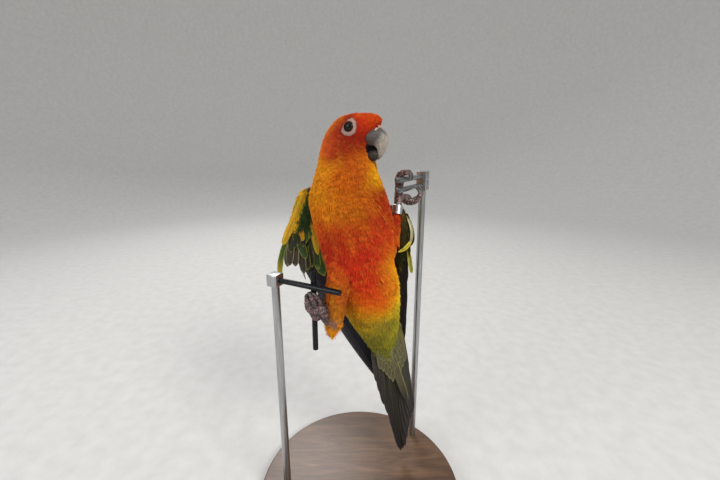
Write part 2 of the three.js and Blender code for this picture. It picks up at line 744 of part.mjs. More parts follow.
// Tail
const tailSheet = sheet({
  origin: vec(23, 10, 148),
  along: vec(17, 11.5, -127.5),
  across: vec(-0.985, -0.17, 0),
  bend: 60,
});
const tailTips = [124, 114, 103, 93, 84];
const tailFeathers = tailTips.flatMap((tip, rank) =>
  [-1, 1].map((side) =>
    vane(tailSheet, {
      root: { s: 6, t: side * (3.2 + rank * 1.8) },
      tip: { s: tip + (random() - 0.5) * 2, t: side * (3.2 + rank * (side < 0 ? 2.6 : 1.1)) },
      wide: rank === 4 ? 7.4 : 6,
      tilt: side * 0.46,
      profile: tailTip,
      thick: 0.55,
      bow: side * rank * -0.35,
    }),
  ),
);
[-1, 1].forEach((side) => {
  tailFeathers.push(
    vane(tailSheet, {
      root: { s: 6, t: side * 1.2 },
      tip: { s: 130 + side * 1.5, t: side * 1 },
      wide: 8,
      height: 2.2 + side * 0.5,
      profile: tailTip,
      thick: 0.55,
    }),
  );
});
const tailCoverts = [-1, 1].flatMap((face) =>
  tier(tailSheet, {
    count: 5,
    height: face * 4.4 - 0.3,
    lift: face * -1,
    tilt: 0.24,
    profile: roundTip,
    first: { root: [2, -8], tip: [36 - face * 5, -12], wide: 7 },
    last: { root: [2, 8], tip: [36 - face * 5, 11], wide: 7 },
  }),
);
const belowCut = half(tailCut - gap / 2, false);
const tail = join([whole, ...tailFeathers, ...tailCoverts]).intersect(belowCut);

const legRoom = join([
  tarsusSolid(rightLeg, gap),
  tarsusSolid(leftLeg, gap),
  ...rightLeg.toes.map((toe) => toeSolid(rightLeg, toe, gap)),
  ...leftLeg.toes.map((toe) => toeSolid(leftLeg, toe, gap)),
  bandRoom,
]);
const wingRoom = join([grownTrunk, legRoom, grownWires, rightThigh(gap), leftThigh(gap)]);
add("wing_right", rightWing.subtract(wingRoom), materials.wing);
add("wing_left", leftWing.subtract(wingRoom), materials.wing);
add("tail", tail, materials.tail);
add("thigh_right", rightThigh(0).subtract(grownTrunk).subtract(legRoom), materials.thigh);
add("thigh_left", leftThigh(0).subtract(grownTrunk).subtract(legRoom), materials.thigh);
add("leg_band", band, materials.band);
add("foot_right", footSolid(rightLeg), materials.foot);
add("foot_left", footSolid(leftLeg), materials.foot);
clawsOf(rightLeg).forEach((claw, i) => {
  add(`claw_right_${i + 1}`, claw.subtract(grownWires), materials.claw);
});
clawsOf(leftLeg).forEach((claw, i) => {
  add(`claw_left_${i + 1}`, claw.subtract(grownWires), materials.claw);
});

export default bird;
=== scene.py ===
import json
import math

import bpy
import numpy as np
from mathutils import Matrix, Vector
from mathutils.bvhtree import BVHTree
from mathutils.kdtree import KDTree

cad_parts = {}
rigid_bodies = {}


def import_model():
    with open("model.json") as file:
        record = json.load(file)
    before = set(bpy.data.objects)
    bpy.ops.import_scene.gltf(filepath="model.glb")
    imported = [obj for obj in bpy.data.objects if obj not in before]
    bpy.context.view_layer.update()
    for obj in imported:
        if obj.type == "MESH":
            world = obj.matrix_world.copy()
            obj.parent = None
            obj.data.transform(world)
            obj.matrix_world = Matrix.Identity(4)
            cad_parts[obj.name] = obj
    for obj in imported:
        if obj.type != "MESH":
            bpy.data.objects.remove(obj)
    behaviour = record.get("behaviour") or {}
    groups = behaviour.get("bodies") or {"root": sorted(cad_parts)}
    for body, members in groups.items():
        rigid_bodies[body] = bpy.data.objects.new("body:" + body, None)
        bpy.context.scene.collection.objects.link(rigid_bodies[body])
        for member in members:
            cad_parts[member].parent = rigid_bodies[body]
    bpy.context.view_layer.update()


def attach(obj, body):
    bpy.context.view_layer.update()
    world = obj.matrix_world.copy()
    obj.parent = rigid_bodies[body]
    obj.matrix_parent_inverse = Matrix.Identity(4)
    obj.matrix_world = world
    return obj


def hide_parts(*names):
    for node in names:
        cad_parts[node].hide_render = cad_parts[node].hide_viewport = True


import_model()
mm = 0.001
rng = np.random.default_rng(11)


def unit(v):
    v = np.asarray(v, float)
    return v / np.maximum(np.linalg.norm(v, axis=-1, keepdims=True), 1e-9)


def mix(a, b, t):
    return a + (b - a) * t


def ease(low, high, x):
    t = np.clip((x - low) / (high - low), 0, 1)
    return t * t * (3 - 2 * t)


def circle(count):
    return np.linspace(0, math.pi * 2, count, endpoint=False)


def spokes(angle, first, second):
    # ways at these angles round a middle: the first at 0 degrees, the second at 90
    return np.cos(angle)[:, None] * first + np.sin(angle)[:, None] * second


def curve(a, b, c, d, t):
    # a smooth way from b to c; a and d are the points before and after them
    return 0.5 * (2 * b + (c - a) * t + (2 * a - 5 * b + 4 * c - d) * t * t + (3 * b - a - 3 * c + d) * t ** 3)


def colour(text):
    # a colour as written on a screen, turned to the linear light that shaders use
    value = np.array([int(text[i:i + 2], 16) for i in (0, 2, 4)]) / 255
    return np.where(value <= 0.04045, value / 12.92, ((value + 0.055) / 1.055) ** 2.4)


def waves(points, size, seed, stretch=(1, 1, 1)):
    # smooth wandering value from -1 to 1, its spots about size across
    own = np.random.default_rng(seed)
    total = np.zeros(len(points))
    for _ in range(14):
        way = unit(own.normal(size=3)) * own.uniform(0.6, 1.6) / size * 2.2
        total += np.sin(points @ (way * np.array(stretch)) + own.uniform(0, 6.3))
    return np.clip(total / 5, -1, 1)


# Meshes from arrays

def ringQuads(rings, count, closed=False):
    # quads between neighbouring rings of points; closed joins the last ring to the first
    i = np.arange(count)
    j = (i + 1) % count
    row = np.arange(rings if closed else rings - 1)[:, None] * count
    after = (row + count) % (rings * count)
    return np.stack([row + i, row + j, after + j, after + i], -1).reshape(-1, 4)


def loft(rings, first=None, last=None):
    # a closed surface over rings of points, drawn to one point at either end
    rings = np.asarray(rings)
    count = rings.shape[1]
    first = rings[0].mean(0) if first is None else np.asarray(first, float)
    last = rings[-1].mean(0) if last is None else np.asarray(last, float)
    points = np.vstack([first[None], rings.reshape(-1, 3), last[None]])
    i = np.arange(count)
    j = (i + 1) % count
    base = 1 + (len(rings) - 1) * count
    top = np.stack([0 * i, 1 + j, 1 + i], -1)
    end = np.stack([0 * i + len(points) - 1, base + i, base + j], -1)
    return outward(points, [ringQuads(len(rings), count) + 1, top, end])


def volumeOf(points, faces):
    total = 0
    for f in faces:
        for k in range(1, f.shape[1] - 1):
            a, b, c = points[f[:, 0]], points[f[:, k]], points[f[:, k + 1]]
            total += np.einsum("ij,ij->i", a, np.cross(b, c)).sum()
    return total


def outward(points, faces):
    if volumeOf(points, faces) < 0:
        faces = [f[:, ::-1] for f in faces]
    return points, faces


def together(shapes):
    points, faces, start = [], [], 0
    for shape in shapes:
        points.append(shape[0])
        faces += [f + start for f in shape[1]]
        start += len(shape[0])
    return np.vstack(points), faces


def dress(mesh, corners, tones=None, maps=None):
    # tones: one colour per point; maps: name of a UV map to one place per point
    for mapName, places in (maps or {}).items():
        layer = mesh.uv_layers.new(name=mapName)
        layer.data.foreach_set("uv", places[corners].astype(np.float32).ravel())
    if tones is not None:
        paint = mesh.attributes.new("plume", "FLOAT_COLOR", "POINT")
        rgba = np.hstack([tones, np.ones((len(tones), 1))])
        paint.data.foreach_set("color", rgba.astype(np.float32).ravel())


def meshPiece(name, shape, material=None, sharp=40, tones=None, maps=None):
    points, faces = shape
    mesh = bpy.data.meshes.new(name)
    corners = np.concatenate([f.ravel() for f in faces]).astype(np.int32)
    sizes = np.concatenate([np.full(len(f), f.shape[1]) for f in faces])
    starts = np.concatenate([[0], np.cumsum(sizes)[:-1]]).astype(np.int32)
    mesh.vertices.add(len(points))
    mesh.vertices.foreach_set("co", (points * mm).astype(np.float32).ravel())
    mesh.loops.add(len(corners))
    mesh.loops.foreach_set("vertex_index", corners)
    mesh.polygons.add(len(sizes))
    mesh.polygons.foreach_set("loop_start", starts)
    mesh.update(calc_edges=True)
    dress(mesh, corners, tones, maps)
    mesh.shade_smooth()
    mesh.set_sharp_from_angle(angle=math.radians(sharp))
    piece = bpy.data.objects.new(name, mesh)
    bpy.context.scene.collection.objects.link(piece)
    if material:
        mesh.materials.append(material)
    return piece


def carry(piece, replaces=()):
    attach(piece, "root")
    if replaces:
        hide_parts(*replaces)


def deselect():
    for item in bpy.context.view_layer.objects:
        item.select_set(False)


def makeActive(piece):
    deselect()
    piece.select_set(True)
    bpy.context.view_layer.objects.active = piece


def settle(piece):
    # the piece's place goes into its mesh
    makeActive(piece)
    bpy.ops.object.transform_apply(location=True, rotation=True, scale=True)


def applied(piece, kind, **settings):
    makeActive(piece)
    modifier = piece.modifiers.new(kind.lower(), kind)
    for key, value in settings.items():
        setattr(modifier, key, value)
    bpy.ops.object.modifier_apply(modifier=modifier.name)


# Nodes for materials

class Finish:
    def __init__(self, name, roughness=0.5, metallic=0.0, **sockets):
        self.material = bpy.data.materials.new(name)
        self.material.use_nodes = True
        self.tree = self.material.node_tree
        self.shader = self.tree.nodes["Principled BSDF"]
        for key, value in {"Roughness": roughness, "Metallic": metallic, **sockets}.items():
            self.shader.inputs[key.replace("_", " ")].default_value = value

    def node(self, kind, inputs=None, **settings):
        made = self.tree.nodes.new("ShaderNode" + kind)
        for key, value in settings.items():
            setattr(made, key, value)
        for key, value in (inputs or {}).items():
            if isinstance(value, bpy.types.NodeSocket):
                self.tree.links.new(value, made.inputs[key])
            else:
                made.inputs[key].default_value = value
        return made

    def link(self, output, key):
        self.tree.links.new(output, self.shader.inputs[key])

    def plume(self, output="Color"):
        # the colours that a piece carries on its points
        return self.node("Attribute", attribute_name="plume").outputs[output]

    def stretch(self, vector, scale):
        return self.node("Mapping", {"Vector": vector, "Scale": scale}).outputs["Vector"]

    def place(self, scale=(1, 1, 1)):
        return self.stretch(self.node("TexCoord").outputs["Object"], scale)

    def noise(self, vector, scale=1, detail=3, rough=0.5, distortion=0.0):
        inputs = {"Vector": vector, "Scale": scale, "Detail": detail}
        inputs.update({"Roughness": rough, "Distortion": distortion})
        return self.node("TexNoise", inputs).outputs["Fac"]

    def grain(self, across, *rest):
        # noise in the piece's own space: about this many spots to the metre, then detail and rough
        across = (across,) * 3 if isinstance(across, int) else across
        return self.noise(self.place(across), 1, *rest)

    def math(self, operation, a, b=0.0, c=None):
        inputs = {0: a, 1: b} if c is None else {0: a, 1: b, 2: c}
        return self.node("Math", inputs, operation=operation).outputs[0]

    def scaled(self, value, by, plus):
        return self.math("MULTIPLY_ADD", value, by, plus)

    def ramp(self, value, stops):
        made = self.node("ValToRGB", {"Fac": value})
        band = made.color_ramp
        stops = list(stops)
        while len(band.elements) < len(stops):
            band.elements.new(0.5)
        for element, (place, tone) in zip(band.elements, stops):
            element.position = place
            tone = [tone] * 3 if isinstance(tone, (int, float)) else list(tone)
            element.color = (*tone, 1)
        return made.outputs["Color"]

    def blend(self, fac, a, b, how="MIX"):
        a, b = (v if isinstance(v, bpy.types.NodeSocket) else (*v, 1) for v in (a, b))
        return self.node("Mix", {0: fac, 6: a, 7: b}, data_type="RGBA", blend_type=how).outputs[2]

    def shaded(self, tone, value, stops):
        return self.blend(1.0, tone, self.ramp(value, stops), "MULTIPLY")

    def tint(self, value, stops):
        self.link(self.ramp(value, stops), "Base Color")

    def bump(self, height, strength=0.3, distance=0.0002):
        inputs = {"Height": height, "Strength": strength, "Distance": distance}
        self.link(self.node("Bump", inputs).outputs["Normal"], "Normal")


# Camera, floor and light
view = {
    "place": (0, -0.247, 0.291),
    "pitch": 13.8,  # degrees below level
    "lens": 17.25,
    "sensor": 36,
}
room = {  # in metres, but for the drop
    "hub": 0.02,
    "flat": 1.5,
    "rise": 1.1,
    "tall": 2.6,
    "steps": 16,
    "sides": 96,
    "drop": 0.2,  # millimetres that the floor lies below the stand
}
lamps = {
    "sky": {"tint": (0.93, 0.96, 1, 1), "strength": 0.55},
    "aim": (0, 0, 0.2),
    "discs": [  # name, place, size, power, tint
        ("keyLight", (0.8, -0.9, 1.15), 0.6, 15, (1, 0.98, 0.95)),
        ("fillLight", (-1.1, -0.75, 0.75), 0.9, 8.5, (0.97, 0.98, 1)),
        ("backLight", (-0.35, 1.1, 1.2), 0.7, 10, (1, 1, 1)),
    ],
}


def makeCamera():
    data = bpy.data.cameras.new("camera")
    data.lens = view["lens"]
    data.sensor_width = view["sensor"]
    data.clip_start = 0.01
    camera = bpy.data.objects.new("camera", data)
    camera.location = view["place"]
    camera.rotation_euler = (math.radians(90 - view["pitch"]), 0, 0)
    bpy.context.scene.collection.objects.link(camera)
    bpy.context.scene.camera = camera
    bpy.context.scene.view_settings.view_transform = "Standard"


def makeRoom():
    # a flat round floor whose rim curves up into a wall, so no horizon shows from any side
    flat, rise, steps = room["flat"], room["rise"], room["steps"]
    profile = [(room["hub"], 0)] + [(flat * k / 6, 0) for k in range(1, 7)]
    for angle in (math.pi / 2 * k / steps for k in range(1, steps + 1)):
        profile.append((flat + math.sin(angle) * rise, rise * (1 - math.cos(angle))))
    profile.append((flat + rise, room["tall"]))
    turn = circle(room["sides"])
    rings = np.array([[(r * math.cos(a), r * math.sin(a), z) for a in turn] for r, z in profile]) * 1000
    rings[:, :, 2] -= room["drop"]
    points = np.vstack([rings.reshape(-1, 3), [[0, 0, -room["drop"]]]])
    i = np.arange(room["sides"])
    fan = np.stack([0 * i + len(points) - 1, (i + 1) % len(i), i], -1)
    finish = Finish("paleFloor", roughness=0.85)
    finish.tint(finish.noise(finish.place(), 60, 4), [(0.3, (0.60, 0.59, 0.57)), (0.7, (0.66, 0.65, 0.63))])
    floor = meshPiece("floor", (points, [ringQuads(len(rings), len(i)), fan]), finish.material)


def makeLight(name, place, size, power, tint):
    data = bpy.data.lights.new(name, "AREA")
    data.shape = "DISK"
    data.size = size
    data.energy = power
    data.color = tint
    lamp = bpy.data.objects.new(name, data)
    lamp.location = place
    lamp.rotation_euler = (Vector(lamps["aim"]) - Vector(place)).to_track_quat("-Z", "Y").to_euler()
    bpy.context.scene.collection.objects.link(lamp)


def makeLights():
    world = bpy.data.worlds.new("softRoom")
    world.use_nodes = True
    back = world.node_tree.nodes["Background"]
    back.inputs["Color"].default_value = lamps["sky"]["tint"]
    back.inputs["Strength"].default_value = lamps["sky"]["strength"]
    bpy.context.scene.world = world
    for lamp in lamps["discs"]:
        makeLight(*lamp)


makeCamera()
makeRoom()
makeLights()
print("room ready")

# Body form: height, middle x and y, turn of the front, reach in front and behind, half width
bodyForm = {
    "slices": [
        (312.5, -4, 1, 62, 20.4, 15.6, 11.8),  # forehead
        (307, -5, 1, 62, 19.4, 19.6, 13.8),  # eyes
        (300, -5.8, 1.5, 60, 16.2, 22.5, 14.8),
        (293, -7, 2.5, 56, 18.2, 24.4, 16.2),  # throat
        (284, -8.8, 3, 48, 21.6, 24.2, 19.2),
        (274, -9.2, 2.5, 37, 23.4, 23, 24.5),
        (262, -8.4, 2, 26, 24.5, 22, 29),  # shoulders
        (249, -6, 1.5, 19, 27, 22.5, 29.5),
        (234, -3.4, 1.5, 16, 28.5, 22, 28),
        (215, -0.6, 2, 14, 28, 21, 26),  # belly
        (196, 4.2, 2.5, 13, 25.5, 19.5, 25.5),
        (178, 8.2, 4, 12, 21, 17.5, 23.3),
        (162, 12.2, 6.5, 11, 16, 14.5, 19.4),  # vent
        (147, 16.6, 9, 10, 11, 11, 15.4),
        (134, 20.6, 11.5, 9, 7, 8, 11.9),
    ],
    "crown": (-0.4, -1, 318.6),
    "rump": (25.2, 13.5, 119),
    "corners": 72,
    "step": 2.2,
    "dome": 0.85,  # roundness of both ends
    "crownShares": (0.93, 0.82, 0.7, 0.56, 0.42, 0.28, 0.14),  # rings of the ends
    "rumpShares": (0, 0.2, 0.4, 0.6, 0.8),
    "coatBody": 1.5,  # how far the skin lies inside the plumage
    "coatHead": 0.8,
    "coatThigh": 1.1,
    "coatFrom": (270, 296),  # heights between which the body's depth goes over to the head's
}
face = {"x": -5, "y": 1, "z": 307, "turn": 62}
eyeForm = {"forward": 4, "up": 1.9, "out": 10, "radius": 4.2}
ringForm = {
    "inner": 3.2,
    "out": 12.3,
    "outline": [(1.9, 5.9), (4.6, 3.4), (5.3, -0.3), (4.7, -3.9), (1.5, -5.9), (-3, -5.4), (-5.7, -2.8),
                (-3.9, 1.2), (-1, 4.5)],  # forward and up from the eye's middle
}
mouthForm = {"forward": 11, "low": -14.5, "high": -9, "wide": 6}


def sliceAt(z):
    rows = bodyForm["slices"]
    last = len(rows) - 1
    i = next((i for i, row in enumerate(rows) if row[0] <= z), last)
    i = max(i, 1)
    a, b, c, d = (np.array(rows[min(max(k, 0), last)], float) for k in (i - 2, i - 1, i, i + 1))
    return curve(a, b, c, d, (b[0] - z) / (b[0] - c[0]))[1:]


def slicesAt(heights, low=120, high=316, drop=0):
    return np.array([sliceAt(min(max(h, low), high) - drop) for h in heights])


def sliceRing(row, z, scale, grow):
    x, y, turn, front, back, half = row
    turn = math.radians(turn)
    angle = circle(bodyForm["corners"])
    ahead = np.array([math.sin(turn), -math.cos(turn), 0])
    across = np.array([math.cos(turn), math.sin(turn), 0])
    reach = np.where(np.cos(angle) > 0, front, back) * scale + grow
    side = half * scale + grow
    return (
        np.array([x, y, z])
        + (np.cos(angle) * reach)[:, None] * ahead
        + (np.sin(angle) * side)[:, None] * across
    )


def coatDepth(z):
    return mix(bodyForm["coatBody"], bodyForm["coatHead"], ease(*bodyForm["coatFrom"], z))


def trunkShape():
    rows = bodyForm["slices"]
    rings = []
    for first, pole, shares in (
        (rows[0], bodyForm["crown"], bodyForm["crownShares"]),
        (rows[-1], bodyForm["rump"], bodyForm["rumpShares"]),
    ):
        z, x, y = first[:3]
        sign = 1 if pole[2] > z else -1
        depth = coatDepth(z)
        for share in shares:
            scale = math.cos(share * math.pi / 2) ** bodyForm["dome"]
            lift = math.sin(share * math.pi / 2)
            row = (mix(x, pole[0], lift), mix(y, pole[1], lift), *first[3:])
            height = mix(z, pole[2] - sign * depth, lift)
            rings.append(sliceRing(row, height, scale, -depth * scale))
        if sign > 0:
            for height in np.arange(rows[0][0], rows[-1][0] + 0.5, -bodyForm["step"]):
                rings.append(sliceRing(sliceAt(height), height, 1, -coatDepth(height)))
    crown = np.array(bodyForm["crown"]) - [0, 0, bodyForm["coatHead"]]
    rump = np.array(bodyForm["rump"]) + [0, 0, bodyForm["coatBody"]]
    return loft(rings, crown, rump)


faceTurn = math.radians(face["turn"])
faceForward = np.array([math.sin(faceTurn), -math.cos(faceTurn), 0])
faceRight = np.array([-math.cos(faceTurn), -math.sin(faceTurn), 0])
faceMiddle = np.array([face["x"], face["y"], face["z"]])


def facePoint(forward, up, right=0.0):
    forward, up, right = (np.asarray(v, float)[..., None] for v in (forward, up, right))
    return faceMiddle + forward * faceForward + up * np.array([0, 0, 1]) + right * faceRight


def faceOwn(points):
    # places in the face's own directions: forward, up, right
    away = points - faceMiddle
    return away @ faceForward, away[:, 2], away @ faceRight


def ringReach(angle):
    # how far the bare ring reaches from the eye's middle
    corners = np.array(ringForm["outline"])
    share = np.linspace(0, 1, 8, endpoint=False)[:, None]
    line = np.vstack([mix(a, b, share) for a, b in zip(corners, np.roll(corners, -1, axis=0))])
    own = np.arctan2(line[:, 1], line[:, 0])
    order = np.argsort(own)
    soft = [np.interp(angle + off, own[order], np.hypot(*line.T)[order], period=2 * math.pi)
            for off in np.linspace(-0.16, 0.16, 5)]
    return np.mean(soft, axis=0)


def inMouth(points):
    forward, up, right = faceOwn(points)
    tall = (up > mouthForm["low"]) & (up < mouthForm["high"])
    return (forward > mouthForm["forward"]) & tall & (np.abs(right) < mouthForm["wide"])


# Limbs along a smooth path
def smoothPath(points, steps):
    points = np.asarray(points, float)
    padded = np.vstack([2 * points[0] - points[1], points, 2 * points[-1] - points[-2]])
    made = [curve(*padded[i:i + 4], t) for i in range(len(points) - 1) for t in np.arange(steps) / steps]
    return np.array(made + [points[-1]])


def tube(points, radii, corners=18, steps=6, swell=None, ends=1.0):
    # swell: share of the radius by the way along and the angle; ends: how far the ends round out
    path = smoothPath(points, steps)
    k = np.linspace(0, len(points) - 1, len(path))
    radius = np.interp(k, np.arange(len(radii)), radii)
    tangent = unit(np.gradient(path, axis=0))
    normal = unit(np.cross(tangent[0], [0.31, 0.2, 0.93]))
    angle = circle(corners)
    rings = []
    for i, (centre, way) in enumerate(zip(path, tangent)):
        normal = unit(normal - way * (normal @ way))
        wide = radius[i] * (swell(i / (len(path) - 1), angle) if swell else 1)
        rings.append(centre + spokes(angle, normal, np.cross(way, normal)) * (np.ones(corners) * wide)[:, None])
    tips = []
    for index, sign in ((0, -1), (-1, 1)):
        centre, reach = path[index], tangent[index] * sign * radius[index] * ends
        made = [centre + (rings[index] - centre) * math.cos(a) + reach * math.sin(a) for a in (0.5, 0.95, 1.3)]
        rings = made[::-1] + rings if sign < 0 else rings + made
        tips.append(centre + reach)
    return loft(rings, *tips)


thighForms = {
    "right": {
        "path": [(-9, -9, 226), (-14.2, -17.6, 207), (-17.2, -21.2, 190), (-18.5, -22, 176), (-20.5, -22, 168)],
        "radii": [12, 8.8, 7.4, 6, 3.6],
    },
    "left": {
        "path": [(13, -4, 212), (19, 1, 219), (22.6, 5.2, 230), (25.6, 8.8, 241), (27.2, 11.2, 245)],
        "radii": [9, 7.4, 6, 4.8, 3.8],
    },
}


def thighShape(side):
    form = thighForms[side]
    return tube(form["path"], [r - bodyForm["coatThigh"] for r in form["radii"]], 28, 8)


# Sheets that the wings and the tail lie on
def sheet(origin, along, across, bend):
    down = unit(along)
    out = unit(np.cross(down, across))
    side = unit(np.cross(out, down))

    def place(s, t, h):
        s, t, h = np.broadcast_arrays(*(np.asarray(v, float) for v in (s, t, h)))
        reach = np.sin(t / bend) * (bend + h)
        drop = np.cos(t / bend) * (bend + h) - bend
        return np.array(origin) + s[..., None] * down + reach[..., None] * side + drop[..., None] * out

    def find(points):
        # the way back: where on the sheet a point lies
        away = points - np.array(origin)
        reach, drop = away @ side, away @ out + bend
        return away @ down, np.arctan2(reach, drop) * bend, np.hypot(reach, drop) - bend

    place.find = find
    return place


sheets = {
    "right": sheet((-57, 12, 228), (0.45, 0.04, -0.893), (0.89, -0.15, 0.45), 90),
    "left": sheet((33.3, 9, 245), (0.052, 0.1, -0.99), (-0.5, 0.86, 0.05), 46),
    "tail": sheet((23, 10, 148), (17, 11.5, -127.5), (-0.985, -0.17, 0), 60),
}

armForms = {  # along the sheet, across it, half width, floor and roof
    "right": [
        (-27, 32, 6, -4, 4), (-16, 27.5, 12.5, -6, 5.4), (-6, 20.5, 15.5, -6, 5.4), (4, 14.2, 14.4, -3.8, 3.6),
        (14, 12, 12, -1.6, 2), (21, 11, 9, -0.8, 1.2),
    ],
    "left": [
        (-8, 10, 7, -2, 4), (4, 14, 14, -2.6, 6.4), (18, 17, 17, -2.6, 6), (30, 19, 18, -2.2, 4.4),
        (42, 19, 17, -1.8, 2), (48, 19, 15, -1.2, 1.2),
    ],
    "blunt": 0.7,  # 1 is an ellipse, less is boxier
    "coat": (1, 0.8),  # how far the skin lies inside, sideways and up
}


def armShape(side):
    angle = circle(40)
    sideways, upward = (np.sign(v) * np.abs(v) ** armForms["blunt"] for v in (np.cos(angle), np.sin(angle)))
    rings = []
    for s, t, wide, floor, roof in smoothPath(armForms[side], 5):
        high = max((roof - floor) / 2 - armForms["coat"][1], 0.5)
        across = t + sideways * (wide - armForms["coat"][0])
        rings.append(sheets[side](s, across, (roof + floor) / 2 + upward * high))
    return loft(rings)


# Skin
skinForm = {"grain": 1.15, "smoothing": 14, "shade": 0.55}  # shade: its tone beside the coat's, darker as painted shade beneath the feathers
sources = [trunkShape(), thighShape("right"), thighShape("left"), armShape("right"), armShape("left")]
thighs = {"right": 1, "left": 2}  # a region's number is its place among the sources
arms = {"right": 3, "left": 4}


def treeOf(shape):
    points, faces = shape
    return BVHTree.FromPolygons(points.tolist(), [list(map(int, row)) for f in faces for row in f])


sourceTrees = [treeOf(shape) for shape in sources]


def regionOf(points):
    away = np.array([[tree.find_nearest(p)[3] for p in points.tolist()] for tree in sourceTrees])
    return away.argmin(0)


# Markings, in the bird's own colours
spots = {  # soft spots of colour: height, degrees round from the breast towards the left wing, tone
    "head": [  # the same on both sides
        (319, 138, "d87812"), (318, 0, "b85a10"), (314, 15, "e6400c"), (312, 106, "a42c12"), (309, 12, "d8300c"),
        (308, 60, "a01a10"), (303, 94, "981e10"), (303, 170, "ec8a2c"), (301, 62, "7e1410"), (300, 20, "a01e10"),
        (298, 118, "cc441c"), (296, 152, "f06c24"), (293, 66, "a02c0a"), (289, 42, "9a2c08"), (287, 80, "a83c08"),
        (286, 15, "f48a10"), (286, 160, "e48e12"),
    ],
    "body": [
        (276, -90, "e08a0a"), (276, -35, "be500a"), (276, 30, "f8b010"),
        (262, -95, "ea9808"), (262, -25, "ca680a"), (262, 40, "b8380c"),
        (250, -85, "e2820a"), (251, -20, "bc6008"), (247, 45, "b83010"),
        (240, -75, "cc460e"), (237, -20, "b6340c"), (236, 40, "ce3812"), (238, 85, "c8340f"),
        (224, -85, "bc2412"), (221, -35, "c83412"), (221, 10, "c42814"), (222, 40, "d2400f"),
        (216, 78, "f8ac0c"), (213, 58, "f4a010"), (206, 62, "f8ac0c"), (200, 80, "ffc410"),
        (204, -65, "b83014"), (204, -5, "c82010"), (202, 36, "d25012"),
        (190, -45, "d8520f"), (190, 8, "e85810"), (190, 60, "ffd010"), (180, -35, "e09c10"), (179, 15, "e0a810"),
        (176, 62, "c8b01a"), (168, -35, "b8901a"), (166, 8, "847428"), (164, 52, "9c9420"),
        (150, -30, "7c7424"), (148, 40, "8c8822"), (134, 0, "6c6a24"),
        (282, 180, "e8a016"), (255, 180, "e8ae1c"), (215, 180, "e4ac1e"), (188, 180, "cca01e"),
        (170, 180, "8c9420"), (145, 180, "5c7422"), (200, 135, "e8a018"), (200, -135, "dc9a18"),
        (264, 130, "e4a41a"), (240, 136, "e4a41a"), (222, 132, "e4a41a"),
        (240, -136, "dca01a"), (222, -132, "dca01a"),
        (122, 180, "56701f"), (126, 90, "5e6c22"), (126, -90, "5e6c22"), (116, 0, "5c5e22"), (104, 180, "56701f"),
    ],
    "reach": (8, 30),
    "wanderUp": (14, 3, 3.5),  # how the spots' edges wander: size, seed, strength in millimetres and degrees
    "wanderRound": (12, 4, 7),
    "headFrom": (278, 289),  # heights between which the head's colours take over
    "mottle": {"size": 4.5, "seed": 5, "stretch": (1, 1, 0.5), "strength": 0.42},
    "warm": ("f2a818", "a41a10"),
    "cool": ("c4b024", "454c1c"),
    "coolBelow": (166, 182),
    "warmMost": (0.27, 0.18),  # on the body and the head
    "coolMost": 0.6,
    "thighMost": 0.5,
    "thighRight": [(245, "e0781a"), (215, "c84c14"), (200, "bc5814"), (185, "b86018"), (176, "cc7c14"),
                   (166, "e2a01c")],
    "thighLeft": [(250, "c83c10"), (240, "b02c10"), (230, "c85010"), (222, "e88c10"), (210, "f8a80c")],
    "paintedShadeAndGrey": [  # painted shade in the hollows at the right ankle and beside the foot, then a grey-blue patch below the ankle: place, reach, tone
        ((-21.5, -27.5, 187), 4.5, "74380f"), ((-21, -27, 180), 3.6, "6c3410"),
        ((-18.6, -27.5, 175.5), 3.4, "62606e"),
    ],
    "rightArm": {"edge": "e8b018", "patch": "a4a81c", "front": "2c4220", "back": "d0a41e", "backPatch": "5c7a1e"},
    "leftArm": {"under": "4e4018", "front": "262c16", "rim": "b8b038", "out": "ccaa20", "outPatch": "5c7a1e"},
    # near-black inside the open mouth: painted shade
    "mouth": "120c0a",
}


def blendSpots(rows, z, angle):
    high, wide = spots["reach"]
    total, weight = np.zeros((len(z), 3)), np.full((len(z), 1), 1e-9)
    for height, turn, tone in rows:
        off = (angle - turn + 180) % 360 - 180
        share = np.exp(-((z - height) / high) ** 2 - (off / wide) ** 2)[:, None] + 1e-6
        total += share * colour(tone)
        weight += share
    return total / weight


def bodyPlace(points):
    # degrees round the body from the breast
    rows = slicesAt(points[:, 2])
    turn = np.radians(rows[:, 2])
    away = points[:, :2] - rows[:, :2]
    ahead = away[:, 0] * np.sin(turn) - away[:, 1] * np.cos(turn)
    across = away[:, 0] * np.cos(turn) + away[:, 1] * np.sin(turn)
    return np.degrees(np.arctan2(across, ahead))


def mottled(tone, points, stray, pair, most):
    form = spots["mottle"]
    spot = waves(points, form["size"], form["seed"], form["stretch"]) * form["strength"] + stray
    for k, name in enumerate(spots[pair]):
        share = np.clip(spot * (1 - 2 * k), 0, 1)[:, None] * most
        tone = mix(tone, colour(name), share)
    return tone


